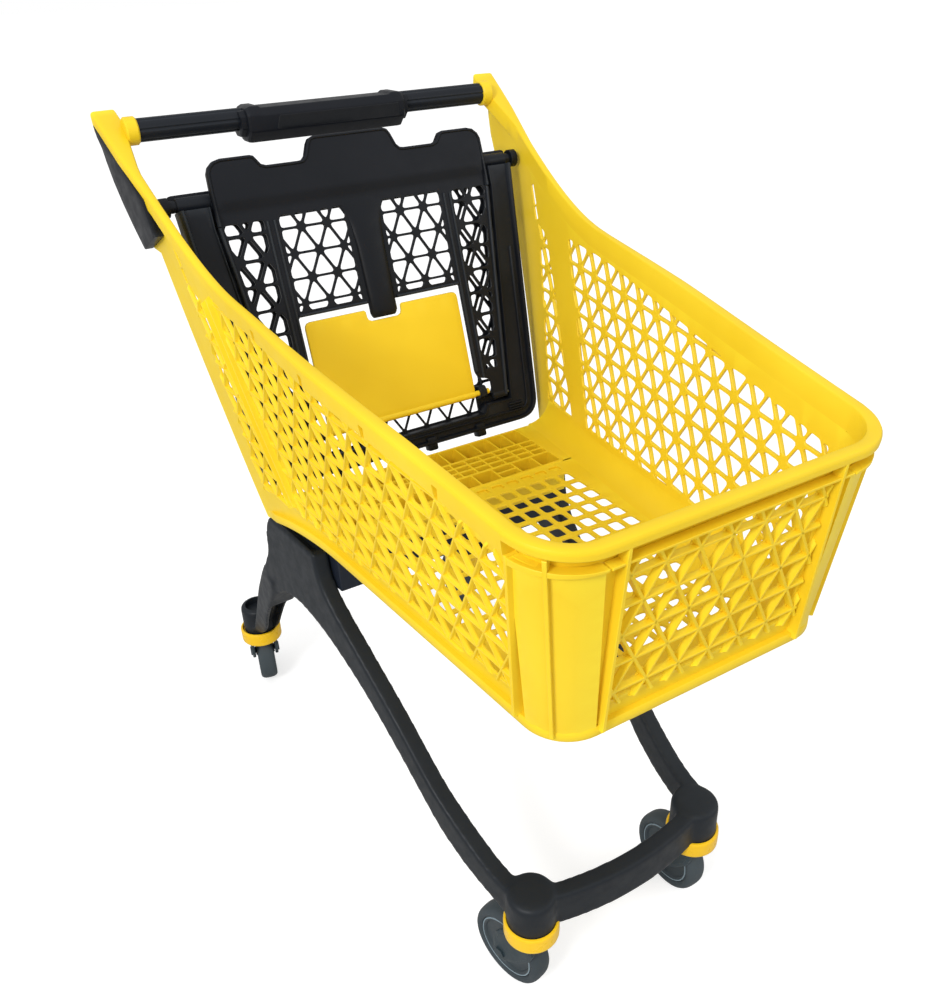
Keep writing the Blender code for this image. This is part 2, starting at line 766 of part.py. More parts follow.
def side_frame(side):
    outline = FRAME_TOP_EDGE + FRAME_REAR_EDGE + FRAME_UNDER_EDGE
    return side_slab("side_frame", side, outline, frame_x, lambda y, z: frame_x(y) - frame_thick(y))


REAR_LEG = [  # (z, then x and y of the outer rear, outer front, inner front and inner rear corners)
    (0.345, (0.2336, 0.301), (0.2336, 0.246), (0.1910, 0.246), (0.1910, 0.301)),
    (0.290, (0.2338, 0.341), (0.2330, 0.284), (0.1908, 0.296), (0.1908, 0.345)),
    (0.245, (0.2343, 0.366), (0.2310, 0.318), (0.1904, 0.360), (0.1904, 0.392)),
    (0.200, (0.2340, 0.392), (0.2270, 0.352), (0.1900, 0.386), (0.1900, 0.430)),
    (0.165, (0.2330, 0.415), (0.2200, 0.390), (0.1895, 0.404), (0.1895, 0.450)),
    (0.1385, (0.2320, 0.436), (0.2130, 0.416), (0.1890, 0.420), (0.1890, 0.455)),
]


def rear_leg(side):
    """The leg that sweeps down and back from a side frame and turns in round the rear socket."""
    bm = bmesh.new()
    rings = []
    for z, *corners in REAR_LEG:
        rings.append([bm.verts.new((side * x, y, z)) for x, y in corners])
    for above, below in zip(rings, rings[1:]):
        for i in range(4):
            j = (i + 1) % 4
            bm.faces.new((above[i], above[j], below[j], below[i]))
    bm.faces.new(rings[0])
    bm.faces.new(rings[-1])
    bmesh.ops.triangulate(bm, faces=bm.faces)
    return to_mesh("rear_leg", bm)


def front_bar():
    """The cross bar between the front bosses, bowed forwards."""
    front = []
    rear = []
    half = FRONT_CASTER[0]
    for i in range(9):
        x = -half + 2 * half * i / 8
        bow = BAR_BOW * (1 - (x / half) ** 2)
        front.append((x, BAR_Y - bow))
        rear.append((x, BAR_Y - bow + BAR_THICK))
    return plate("front_bar", front + rear[::-1], *BAR_Z)


def add_frame(parent):
    frame = add("chassis_frame", side_frame(-1), "frame_plastic", parent)
    join(frame, front_bar(), side_frame(1), rear_leg(-1), rear_leg(1))
    for side in (-1, 1):
        for (half_x, y), top, radius in ((FRONT_CASTER, 0.1845, BOSS_R), (REAR_CASTER, 0.183, 0.0280)):
            x = side * half_x
            cut(frame, rod("ring_relief", (x, y, 0.11), (x, y, RING_Z[1] + 0.0008), RING_R + 0.0008, 28))
            join(frame, rod("boss", (x, y, BOSS_BOTTOM), (x, y, top), radius, 28))
            cut(frame, rod("stem_hole", (x, y, 0.12), (x, y, 0.1675), 0.0055, 14))
    return frame


def add_cross_beam(parent):
    """An open-bottomed channel between the side frames, which carries the basket's rear box."""
    outlines = []
    for inset in (0.0, 0.004):
        front, rear = BEAM_Y[0] + inset, BEAM_Y[1] - inset
        ends = [(frame_x(y) - frame_thick(y) - 0.0008 - inset, y) for y in (front, rear)]
        outlines.append(mirrored(ends))
    beam = add("cross_beam", plate("cross_beam", outlines[0], *BEAM_Z), "beam_paint", parent)
    cut(beam, plate("channel", outlines[1], BEAM_Z[0] - 0.01, BEAM_Z[1] - 0.004))
    for x in BOLT_X:
        for y in BOLT_Y:
            cut(beam, rod("bolt_hole", (x, y, 0.46), (x, y, 0.49), 0.0045, 12))


def add_frame_bolts(parent):
    """Bolts from the cross beam up into the basket's rear box."""
    number = 0
    for x in BOLT_X:
        for y in BOLT_Y:
            number += 1
            shank = rod("shank", (x, y, 0.4700), (x, y, 0.4880), 0.0040, 12)
            bolt = add(f"frame_bolt_{number}", shank, "zinc_steel", parent)
            join(bolt, rod("head", (x, y, 0.4685), (x, y, 0.4741), 0.0080, 12))


# ---------------------------------------------------------------- casters


def cheek(side):
    """One leg of a fork: a narrow neck under the head that sweeps back to the axle."""
    outline = [(-0.010, 0.1240), (-0.010, 0.1110), (-0.020, 0.1085), (-0.0205, 0.1000), (-0.014, 0.0880)]
    outline += [(0.010, 0.0620), (0.0235, 0.0485)]
    for i in range(9):
        angle = radians(-150 + 160 * i / 8)
        outline.append((TRAIL + 0.0115 * cos(angle), WHEEL_R + 0.0115 * sin(angle)))
    outline += [(0.0420, 0.0760), (0.0310, 0.0980), (0.0225, 0.1085), (0.010, 0.1110), (0.010, 0.1240)]
    return side_slab("cheek", side, outline, lambda y, z: 0.0228, lambda y, z: 0.0180)


def fork_meshes():
    head = rod("head", (0, 0, 0.1128), (0, 0, 0.1270), 0.0246, 24)
    return head, cheek(-1), cheek(1)


RING_PROFILE = [
    (RING_R - 0.003, RING_Z[1]),
    (RING_R, RING_Z[1] - 0.004),
    (RING_R, RING_Z[0] + 0.004),
    (RING_R - 0.003, RING_Z[0]),
    (0.0264, RING_Z[0]),
    (0.0264, BOSS_BOTTOM - GAP),
    (BOSS_R + 0.0006, BOSS_BOTTOM - GAP),
    (BOSS_R + 0.0006, RING_Z[1]),
]
TYRE_PROFILE = [
    (0.0433, 0.0130),
    (0.0475, 0.0150),
    (0.0522, 0.0138),
    (0.0547, 0.0090),
    (WHEEL_R, 0.0030),
    (WHEEL_R, -0.0030),
    (0.0547, -0.0090),
    (0.0522, -0.0138),
    (0.0475, -0.0150),
    (0.0433, -0.0130),
]
HUB_PROFILE = [
    (0.0100, 0.0172),
    (0.0120, 0.0090),
    (0.0370, 0.0090),
    (0.0395, 0.0125),
    (0.0429, 0.0125),
    (0.0429, -0.0125),
    (0.0395, -0.0125),
    (0.0370, -0.0090),
    (0.0120, -0.0090),
    (0.0100, -0.0172),
    (0.0062, -0.0172),
    (0.0062, 0.0172),
]


def add_caster(label, position, parent):
    """Swivel caster: the ring and the stem stay with the frame, the fork turns, the wheel spins."""
    post = empty(f"{label}_post", parent, (*position, 0))
    swivel = empty(f"{label}_swivel", post, (0, 0, 0), (0, 0, CASTER_YAW[label]))
    axle_seat = empty(f"{label}_axle_seat", swivel, (0, TRAIL, WHEEL_R), (0, pi / 2, 0))
    wheel = empty(f"{label}_wheel", axle_seat, (0, 0, 0))
    turned(f"{label}_bumper_ring", "bumper_yellow", post, RING_PROFILE, 24)
    stem = add(f"{label}_stem", rod("stem", (0, 0, 0.1110), (0, 0, 0.1660), 0.0049, 14), "zinc_steel", post)
    join(stem, rod("stem_head", (0, 0, 0.1068), (0, 0, 0.1124), 0.0085, 14))
    head, left, right = fork_meshes()
    fork = add(f"{label}_fork", head, "caster_plastic", swivel)
    join(fork, left, right)
    cut(fork, rod("stem_bore", (0, 0, 0.10), (0, 0, 0.14), 0.0055, 14))
    axle_line = ((-0.03, TRAIL, WHEEL_R), (0.03, TRAIL, WHEEL_R))
    cut(fork, rod("axle_bore", *axle_line, 0.0060, 14))
    turned(f"{label}_tyre", "tyre_rubber", wheel, TYRE_PROFILE, 24)
    turned(f"{label}_hub", "caster_plastic", wheel, HUB_PROFILE, 24)
    shank = rod("axle", (0, 0, -0.0245), (0, 0, 0.0245), 0.0055, 14)
    axle = add(f"{label}_axle", shank, "zinc_steel", axle_seat)
    join(axle, rod("axle_head", (0, 0, 0.0232), (0, 0, 0.0262), 0.0085, 14))
    join(axle, rod("axle_nut", (0, 0, -0.0262), (0, 0, -0.0232), 0.0085, 6))


# ---------------------------------------------------------------- assembly

clear_scene()
PARTS = collection("shopping_cart")
TOOLS = collection("cutters")
datum = empty("cart_datum", None, (0, -MIDDLE_Y, 0))

add_basket(datum)
add_arm_covers(datum)
add_handle(datum)
add_handle_module(datum)
add_gate_hardware(datum)

gate_pivot = empty("gate_pivot", datum, (0, ROD_Y, ROD_Z), (pi / 2 - GATE_LEAN, 0, 0))
add_gate(gate_pivot)
add_seat_pins(gate_pivot)
seat_pivot = empty("seat_pivot", gate_pivot, (0, SEAT_PIVOT_V, SEAT_PIVOT_N))
add_seat_back(seat_pivot)
flap_pivot = empty("flap_pivot", gate_pivot, (0, SILL_V, SILL_N))
add_seat_flap(flap_pivot)

add_frame(datum)
add_cross_beam(datum)
add_frame_bolts(datum)
for caster, (half_x, caster_y) in (("front", FRONT_CASTER), ("rear", REAR_CASTER)):
    add_caster(f"{caster}_left", (-half_x, caster_y), datum)
    add_caster(f"{caster}_right", (half_x, caster_y), datum)

bpy.context.view_layer.update()
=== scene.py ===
"""Looks of the plastic shopping cart: lattice basket, gate, child seat, frame and casters.

The drawing frame has X across the cart, -Y towards its front and Z up, in metres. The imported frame
lies MIDDLE_Y further forward, so each place function takes drawing coordinates and returns packed ones.
"""

from math import atan, cos, exp, hypot, pi, radians, sin

import bmesh
import bpy
from mathutils import Matrix, Vector
from mathutils.geometry import delaunay_2d_cdt


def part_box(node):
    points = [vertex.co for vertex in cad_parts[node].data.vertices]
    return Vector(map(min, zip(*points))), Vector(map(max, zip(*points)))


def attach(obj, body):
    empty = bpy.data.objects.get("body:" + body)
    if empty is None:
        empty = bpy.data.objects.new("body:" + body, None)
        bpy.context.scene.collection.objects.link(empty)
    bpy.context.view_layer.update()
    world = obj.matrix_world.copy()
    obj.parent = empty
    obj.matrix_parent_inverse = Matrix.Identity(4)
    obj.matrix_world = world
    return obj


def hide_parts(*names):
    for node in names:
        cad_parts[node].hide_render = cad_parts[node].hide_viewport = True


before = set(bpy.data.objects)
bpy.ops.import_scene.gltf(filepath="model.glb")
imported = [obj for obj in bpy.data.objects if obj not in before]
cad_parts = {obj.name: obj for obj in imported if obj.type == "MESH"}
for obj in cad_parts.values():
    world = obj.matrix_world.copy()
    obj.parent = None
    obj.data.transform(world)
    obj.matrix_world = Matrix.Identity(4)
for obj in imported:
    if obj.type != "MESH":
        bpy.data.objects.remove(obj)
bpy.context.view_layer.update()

MIDDLE_Y = 0.0458

# Basket walls
SKIRT_FRONT = (0.173, -0.411, 0.525)
RIM_FRONT = (0.1991, -0.437, 0.7584)
SKIRT_FLARE = 0.1057
RIM_FLARE = 0.1142
SKIRT_REAR_Y = 0.2
RIM_DEPTH = 0.026
CORNER_R = 0.06
FOOT_R = 0.048
CORNER_ARC = 0.092
# How far out the walls' inner face, their outer face and the corner posts' face stand
INNER = -0.008
SKIN = -0.0052
POST = 0.0012
# Where ribs start, just inside the walls' outer face
ROOT = SKIN - 0.0005
ARM_REAR = [
    (0.4385, 0.964),
    (0.435, 0.948),
    (0.426, 0.923),
    (0.41, 0.896),
    (0.39, 0.87),
    (0.368, 0.845),
    (0.344, 0.843),
    (0.303, 0.74),
    (0.254, 0.62),
    (0.205, 0.495),
]
ARM_TOP_Y = 0.4535
FLOOR_TOP = 0.527

# Gate plane
ROD_Y = 0.334
ROD_Z = 0.9
LEAN = radians(17.17)

# Casters
WHEEL_R = 0.0554
TRAIL = 0.034
FRONT_POST = (0.131, -0.302)
REAR_POST = (0.212, 0.457)
CASTER_YAW = {"front_left": 0.229, "front_right": 0.03, "rear_left": -0.232, "rear_right": -0.12}

SIDES = ((-1, "left"), (1, "right"))


def packed(x, y, z):
    """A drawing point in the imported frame."""
    return Vector((x, y - MIDDLE_Y, z))


def circle(x, y, z, radius, steps):
    return [
        packed(x + radius * cos(2 * pi * i / steps), y + radius * sin(2 * pi * i / steps), z)
        for i in range(steps)
    ]


# ---------------------------------------------------------------- the basket's surfaces


def share(value, start, end):
    return min(1.0, max(0.0, (value - start) / (end - start)))


def rim_z(y):
    lift = max(0.0, y - 0.1)
    return RIM_FRONT[2] + 0.1447 * (y - RIM_FRONT[1]) + 1.75 * lift**2 - 2.2 * lift**3


def rim_out(y):
    return 0.008 - 0.005 * share(y, -0.08, 0.08) + 0.004 * share(y, 0.31, 0.38)


def rim_in(y):
    return INNER - 0.018 * share(y, 0.35, 0.43)


def bulge(y):
    return 0.0036 * exp(-(((y + 0.07) / 0.15) ** 2))


def skirt_z(y):
    drop = max(0.0, y + 0.02)
    return SKIRT_FRONT[2] + 0.008 - 0.008 * max(0.0, -y / 0.411) - 0.78 * drop**2


def wall_x(y, z):
    low = SKIRT_FRONT[0] + SKIRT_FLARE * (y - SKIRT_FRONT[1])
    high = RIM_FRONT[0] + RIM_FLARE * (y - RIM_FRONT[1]) + bulge(y)
    return low + (high - low) * (z - skirt_z(y)) / (rim_z(y) - skirt_z(y))


def side_place(side):
    return lambda y, z, out: packed(side * (wall_x(y, z) + out), y, z)


def front_place(x, z, out):
    lean = (z - SKIRT_FRONT[2]) / (RIM_FRONT[2] - SKIRT_FRONT[2])
    return packed(x, SKIRT_FRONT[1] + (RIM_FRONT[1] - SKIRT_FRONT[1]) * lean - out, z)


def corner_line(front, flare, height, turn):
    """Point and outward direction on one level's corner, at a share of its turn from side to front."""
    half, front_y = front[:2]
    radius = CORNER_R if front is RIM_FRONT else FOOT_R
    side_angle = -atan(flare)
    centre_x = half + flare * radius - radius * hypot(1, flare)
    angle = side_angle + (-pi / 2 - side_angle) * turn
    y = front_y + radius + radius * sin(angle)
    return Vector((centre_x + radius * cos(angle), y, height(y))), Vector((cos(angle), sin(angle), 0))


def foot_corner(turn):
    return corner_line(SKIRT_FRONT, SKIRT_FLARE, skirt_z, turn)


def rim_corner(turn):
    return corner_line(RIM_FRONT, RIM_FLARE, rim_z, turn)


def corner_place(side):
    """u runs round the corner from the side (0) to the front (CORNER_ARC)."""

    def place(u, z, out):
        turn = u / CORNER_ARC
        low, low_out = foot_corner(turn)
        high, high_out = rim_corner(turn)
        rise = (z - low.z) / (high.z - low.z)
        point = low.lerp(high, rise) + low_out.lerp(high_out, rise) * out
        return packed(side * point.x, point.y, z)

    return place


def gate_place(x, v, out):
    """v runs up the gate from its rod, out runs forward from its rear face."""
    return packed(x, ROD_Y + v * sin(LEAN) - out * cos(LEAN), ROD_Z + v * cos(LEAN) + out * sin(LEAN))


def floor_place(x, y, out):
    return packed(x, y, FLOOR_TOP + out)


# ---------------------------------------------------------------- flat outlines


def area(loop):
    return sum(a[0] * b[1] - b[0] * a[1] for a, b in zip(loop, loop[1:] + loop[:1])) / 2


def grown(loop, distance):
    """The closed outline moved outwards by a distance, corner for corner."""
    turn = 1 if area(loop) > 0 else -1
    result = []
    for before, here, after in zip(loop[-1:] + loop[:-1], loop, loop[1:] + loop[:1]):
        first = (Vector(here) - Vector(before)).normalized()
        second = (Vector(after) - Vector(here)).normalized()
        normal = Vector((first.y + second.y, -first.x - second.x)) * turn
        normal /= max(0.6, 1 + first.dot(second))
        result.append((here[0] + normal.x * distance, here[1] + normal.y * distance))
    return result


def divided(loop, step):
    """The closed outline with points added so that none are further apart than a step."""
    result = []
    for here, after in zip(loop, loop[1:] + loop[:1]):
        pieces = max(1, round(hypot(after[0] - here[0], after[1] - here[1]) / step))
        for i in range(pieces):
            x, y = (a + (b - a) * i / pieces for a, b in zip(here, after))
            result.append((x, y))
    return result


def rounded(loop, radius, steps=3):
    """The closed outline with every corner made an arc, as far as its edges allow."""
    result = []
    count = len(loop)
    for i in range(count):
        here = Vector(loop[i])
        back = Vector(loop[i - 1]) - here
        ahead = Vector(loop[(i + 1) % count]) - here
        room = 0.48 * min(back.length, ahead.length)
        back.normalize()
        ahead.normalize()
        dot = max(-0.9999, min(0.9999, back.dot(ahead)))
        half = 0.5 * back.angle(ahead)
        if half > 1.5 or dot > 0.999:
            result.append(tuple(here))
            continue
        reach = min(room, radius * cos(half) / sin(half))
        for k in range(steps + 1):
            t = k / steps
            start, end = here + back * reach, here + ahead * reach
            result.append(tuple((1 - t) ** 2 * start + 2 * t * (1 - t) * here + t**2 * end))
    return result


def clipped(polygon, point, inward):
    """The part of a convex polygon on the inner side of a line."""
    kept = []
    depths = [(Vector(corner) - point).dot(inward) for corner in polygon]
    for i, corner in enumerate(polygon):
        j = (i + 1) % len(polygon)
        if depths[i] >= 0:
            kept.append(corner)
        if (depths[i] >= 0) != (depths[j] >= 0):
            t = depths[i] / (depths[i] - depths[j])
            kept.append(tuple(Vector(corner).lerp(Vector(polygon[j]), t)))
    return kept


def mirrored(outline):
    return outline + [(-x, y) for x, y in reversed(outline) if abs(x) > 1e-6]


def region_lines(corners):
    """The sides of a convex region, anticlockwise, as (point, inward direction)."""
    lines = []
    for here, after in zip(corners, corners[1:] + corners[:1]):
        along = (Vector(after) - Vector(here)).normalized()
        lines.append((Vector(here), Vector((-along.y, along.x))))
    return lines


SHORT_EDGE = 0.0012


def isogrid_holes(corners, origin, along, up, rib, radius, least=0.00003):
    """Rounded triangular holes of a lattice, cut off by a convex region given anticlockwise."""
    region = region_lines(corners)
    origin, along, up = Vector(origin), Vector(along), Vector(up)
    low = Vector((min(c[0] for c in corners), min(c[1] for c in corners)))
    high = Vector((max(c[0] for c in corners), max(c[1] for c in corners)))
    reach = int(max((high - low).length, (origin - low).length, (origin - high).length) / up.length) + 3
    holes = []
    for i in range(-reach, reach):
        for j in range(-reach, reach):
            node = origin + along * i + up * j
            if not (low.x - 0.05 < node.x < high.x + 0.05 and low.y - 0.05 < node.y < high.y + 0.05):
                continue
            for cell in ([node, node + along, node + up], [node + along, node + along + up, node + up]):
                cell = [tuple(p) for p in cell]
                for point, inward in region_lines(cell) + region:
                    shift = rib / 2 if (point, inward) not in region else 0.0
                    cell = clipped(cell, point + inward * shift, inward)
                    if len(cell) < 3:
                        break
                if len(cell) < 3:
                    continue
                following = zip(cell, cell[1:] + cell[:1])
                clean = [p for p, q in following if (Vector(p) - Vector(q)).length > SHORT_EDGE]
                if len(clean) < 3 or area(clean) < least:
                    continue
                holes.append(rounded(clean, radius))
    return holes


def isogrid_lines(corners, origin, along, up, fin):
    """The lattice's lines inside a region, as (start, end), each running on past the edge by a fin."""
    region = region_lines(corners)
    origin, along, up = Vector(origin), Vector(along), Vector(up)
    across = up - along
    found = []
    step = 0.002
    for direction, stride in ((along, up), (up, along), (across, along)):
        for k in range(-40, 41):
            start = origin + stride * k
            inside = []
            for i in range(-500, 501):
                point = start + direction.normalized() * (i * step)
                if all((point - corner).dot(inward) > -fin for corner, inward in region):
                    inside.append(point)
            if len(inside) * step > fin * 2 + 0.008:
                found.append((inside[0], inside[-1]))
    return found


# ---------------------------------------------------------------- solids


def level(value, u, v):
    return value(u, v) if callable(value) else value


def span(values, margin=0.0):
    return min(values) - margin, max(values) + margin


def near_loop(point, loop, margin):
    """Whether a point is in the box round a loop."""
    spans = (span([p[axis] for p in loop], margin) for axis in (0, 1))
    return all(low < at < high for (low, high), at in zip(spans, point))


def contains(loop, point):
    inside = False
    for a, b in zip(loop, loop[1:] + loop[:1]):
        if (a[1] > point[1]) != (b[1] > point[1]):
            if point[0] < (b[0] - a[0]) * (point[1] - a[1]) / (b[1] - a[1]) + a[0]:
                inside = not inside
    return inside


def fill_points(outline, holes, spacing):
    """Points on a grid inside the outline and clear of the holes, so that a sheet can curve."""
    (left, right), (foot, top) = (span([p[axis] for p in outline]) for axis in (0, 1))
    shrunk = grown(outline, -0.004)
    points = []
    for i in range(int((right - left) / spacing) + 1):
        for j in range(int((top - foot) / spacing) + 1):
            point = (left + (i + 0.5) * spacing, foot + (j + 0.5) * spacing)
            if contains(shrunk, point) and not any(near_loop(point, hole, 0.002) for hole in holes):
                points.append(point)
    return points


def outside(face, verts, owner, outline):
    """Whether a triangle fills a hole, or lies beyond a hollow stretch of the outline."""
    loops = {owner.get(i) for i in face}
    if len(loops) > 1 or loops == {None}:
        return False
    if loops != {0}:
        return True
    return not contains(outline, sum((verts[i] for i in face), Vector((0, 0))) / 3)


ROUNDED_EDGE = 0.0012


def add_sheet(bm, outline, holes, place, low, high, edge=0.0006, outer_edge=0.0, spacing=0.02):
    """A plate between two levels over an outline with holes, its edges chamfered, on a curved surface."""
    loops = [(outline, -outer_edge)] + [(hole, edge) for hole in holes]
    flat = []
    ties = []
    starts = []
    for loop, growth in loops:
        starts.append(len(flat))
        flat += grown(loop, growth) if growth else loop
        ties += [(starts[-1] + i, starts[-1] + (i + 1) % len(loop)) for i in range(len(loop))]
    flat += fill_points(outline, holes, spacing)
    verts, _, faces, origins, _, _ = delaunay_2d_cdt([Vector(p) for p in flat], ties, [], 2, 1e-7)
    where = {}
    for new, old in enumerate(origins):
        for index in old:
            where[index] = new
    owner = {}
    for number, (loop, _) in enumerate(loops):
        for i in range(len(loop)):
            owner[where[starts[number] + i]] = number
    faces = [face for face in faces if not outside(face, verts, owner, outline)]
    top = [bm.verts.new(place(x, y, level(high, x, y))) for x, y in verts]
    bottom = [bm.verts.new(place(x, y, level(low, x, y))) for x, y in verts]
    for face in faces:
        bm.faces.new([top[i] for i in face])
        bm.faces.new([bottom[i] for i in reversed(face)])
    for (loop, growth), start in zip(loops, starts):
        step = abs(growth)
        middle = grown(loop, growth * 0.3)
        drops = [(middle, step * 0.3)] if step >= ROUNDED_EDGE else []
        drops += [(loop, step)] if step else []
        rings = [[top[where[start + i]] for i in range(len(loop))]]
        for line, drop in drops:
            rings.append([bm.verts.new(place(x, y, level(high, x, y) - drop)) for x, y in line])
        for line, drop in reversed(drops):
            rings.append([bm.verts.new(place(x, y, level(low, x, y) + drop)) for x, y in line])
        rings.append([bottom[where[start + i]] for i in range(len(loop))])
        for above, below in zip(rings, rings[1:]):
            for i in range(len(loop)):
                j = (i + 1) % len(loop)
                bm.faces.new((above[i], below[i], below[j], above[j]))


def add_loft(bm, rings, closed=False):
    """A solid through matching closed rings of points."""
    made = [[bm.verts.new(point) for point in ring] for ring in rings]
    pairs = list(zip(made, made[1:]))
    if closed:
        pairs.append((made[-1], made[0]))
    for before, after in pairs:
        for i in range(len(before)):
            j = (i + 1) % len(before)
            bm.faces.new((before[i], before[j], after[j], after[i]))
    if not closed:
        for cap in (bm.faces.new(made[0]), bm.faces.new(made[-1])):
            cap.normal_update()
            bmesh.ops.triangulate(bm, faces=[cap])


# Across the fin as shares of its width, whether at the top, and how far below it
FIN_SECTION = [
    (-0.6, 0, 0), (0.6, 0, 0), (0.48, 1, 0.0005), (0.32, 1, 0), (-0.32, 1, 0), (-0.48, 1, 0.0005)
]


def add_fin(bm, start, end, place, width, low, high, slope=0.005, step=0.012):
    """A tapered rib from one flat point to another, whose ends slope down to the surface."""
    along = end - start
    length = along.length
    along.normalize()
    across = Vector((-along.y, along.x))
    count = max(2, round(length / step))
    rings = []
    for i in range(count + 1):
        at = start + along * (length * i / count)
        tip = at
        if i in (0, count):
            tip = at + along * (slope if i == 0 else -slope)
        base, top = level(low, *at), level(high, *tip)
        ring = []
        for half, raised, drop in FIN_SECTION:
            point, out = (tip, top) if raised else (at, base)
            flat = point + across * (half * width)
            ring.append(place(flat.x, flat.y, out - drop))
        rings.append(ring)
    add_loft(bm, rings)


def quad(a, b, c, d, step=0.012):
    return divided([a, b, c, d], step)


def closed_mesh(name, bm):
    bmesh.ops.recalc_face_normals(bm, faces=bm.faces)
    mesh = bpy.data.meshes.new(name)
    bm.to_mesh(mesh)
    bm.free()
    return mesh


def show(name, data):
    obj = bpy.data.objects.new(name, data)
    bpy.context.scene.collection.objects.link(obj)
    return obj


def piece(name, bm, body, material, replaces=(), smooth=38):
    """A finished piece that moves with a body and takes the place of some CAD nodes."""
    mesh = closed_mesh(name, bm)
    mesh.shade_smooth()
    mesh.set_sharp_from_angle(angle=radians(smooth))
    mesh.materials.append(material)
    obj = show(name, mesh)
    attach(obj, body)
    if replaces:
        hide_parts(*replaces)
    return obj


def baked(obj):
    """Replaces an object's mesh by what its modifiers make of it."""
    bpy.context.view_layer.update()
    graph = bpy.context.evaluated_depsgraph_get()
    result = bpy.data.meshes.new_from_object(obj.evaluated_get(graph))
    obj.modifiers.clear()
    obj.data = result


def cut_from(target, bm):
    cutter = show("cutter", closed_mesh("cutter", bm))
    modifier = target.modifiers.new("Cut", "BOOLEAN")
    modifier.operation = "DIFFERENCE"
    modifier.object = cutter
    baked(target)
    bpy.data.objects.remove(cutter, do_unlink=True)


# ---------------------------------------------------------------- materials


def plastic(name, colour, shade, roughness, grain=900.0, bump=0.12, sheen=0.3, edge=None):
    """Moulded plastic: slow drifts of colour, lighter convex edges (partly wear, partly a painted
    highlight), uneven gloss and a fine moulded grain.
    """
    made = bpy.data.materials.new(name)
    made.use_nodes = True
    made.diffuse_color = (*colour, 1)
    nodes = made.node_tree.nodes
    links = made.node_tree.links
    shader = nodes["Principled BSDF"]
    place = nodes.new("ShaderNodeTexCoord")

    def noise(scale, detail, rough=0.55):
        node = nodes.new("ShaderNodeTexNoise")
        node.inputs["Scale"].default_value = scale
        node.inputs["Detail"].default_value = detail
        node.inputs["Roughness"].default_value = rough
        links.new(place.outputs["Object"], node.inputs["Vector"])
        return node.outputs["Fac"]

    def ramp(source, low, high):
        node = nodes.new("ShaderNodeMapRange")
        node.inputs["From Min"].default_value = 0.35
        node.inputs["From Max"].default_value = 0.65
        node.inputs["To Min"].default_value = low
        node.inputs["To Max"].default_value = high
        links.new(source, node.inputs["Value"])
        return node.outputs["Result"]

    def mix(factor, first, second):
        node = nodes.new("ShaderNodeMix")
        node.data_type = "RGBA"
        links.new(factor, node.inputs["Factor"])
        for socket, value in ((node.inputs["A"], first), (node.inputs["B"], second)):
            if isinstance(value, tuple):
                socket.default_value = (*value, 1)
            else:
                links.new(value, socket)
        return node.outputs["Result"]

    base = mix(ramp(noise(5.0, 3), 0.0, 1.0), colour, shade)
    # Convex edges get a lighter colour: partly wear, partly a painted highlight along the edges.
    geometry = nodes.new("ShaderNodeNewGeometry")
    edge_wear_and_highlight_mask = nodes.new("ShaderNodeMapRange")
    edge_wear_and_highlight_mask.inputs["From Min"].default_value = 0.56
    edge_wear_and_highlight_mask.inputs["From Max"].default_value = 0.62
    edge_wear_and_highlight_mask.inputs["To Max"].default_value = 0.55
    links.new(geometry.outputs["Pointiness"], edge_wear_and_highlight_mask.inputs["Value"])
    edge_wear_and_highlight_colour = edge or tuple(min(1.0, c * 1.25 + 0.01) for c in colour)
    base = mix(edge_wear_and_highlight_mask.outputs["Result"], base, edge_wear_and_highlight_colour)
    links.new(base, shader.inputs["Base Color"])
    links.new(ramp(noise(60.0, 4), roughness - 0.05, roughness + 0.06), shader.inputs["Roughness"])
    shader.inputs["Specular IOR Level"].default_value = sheen
    relief = nodes.new("ShaderNodeBump")
    relief.inputs["Strength"].default_value = bump
    relief.inputs["Distance"].default_value = 0.0004
    links.new(noise(grain, 2, 0.6), relief.inputs["Height"])
    links.new(relief.outputs["Normal"], shader.inputs["Normal"])
    return made


def metal(name, colour, roughness):
    made = plastic(name, colour, tuple(c * 0.8 for c in colour), roughness, 1500.0, 0.1)
    made.node_tree.nodes["Principled BSDF"].inputs["Metallic"].default_value = 1.0
    return made


# The lighter edge colours given to the dark finishes below are partly wear and partly a painted highlight
# along their edges.
YELLOW = plastic("yellow_moulded", (0.9, 0.64, 0.024), (0.84, 0.58, 0.017), 0.4, bump=0.06, sheen=0.22)
RING_YELLOW = plastic("bumper_moulded", (0.95, 0.58, 0.008), (0.9, 0.53, 0.006), 0.3, bump=0.05, sheen=0.4)
BLACK = plastic(
    "black_moulded", (0.0045, 0.006, 0.009), (0.0075, 0.009, 0.013), 0.36, sheen=0.17,
    edge=(0.03, 0.036, 0.045)
)
FRAME = plastic(
    "frame_moulded", (0.008, 0.011, 0.015), (0.012, 0.0155, 0.02), 0.46, 700.0, 0.15, 0.26,
    (0.035, 0.045, 0.055)
)
BEAM = plastic("beam_coat", (0.01, 0.014, 0.024), (0.014, 0.019, 0.03), 0.42, 1200.0, 0.1, 0.26)
FORK = plastic(
    "fork_moulded", (0.02, 0.034, 0.042), (0.03, 0.048, 0.058), 0.4, sheen=0.35, edge=(0.09, 0.12, 0.14)
)
HUB = plastic(
    "hub_moulded", (0.03, 0.042, 0.05), (0.042, 0.058, 0.068), 0.36, sheen=0.4, edge=(0.12, 0.15, 0.17)
)
LABEL = plastic("label_pad", (0.002, 0.003, 0.005), (0.003, 0.004, 0.006), 0.16, 300.0, 0.03, 0.4)
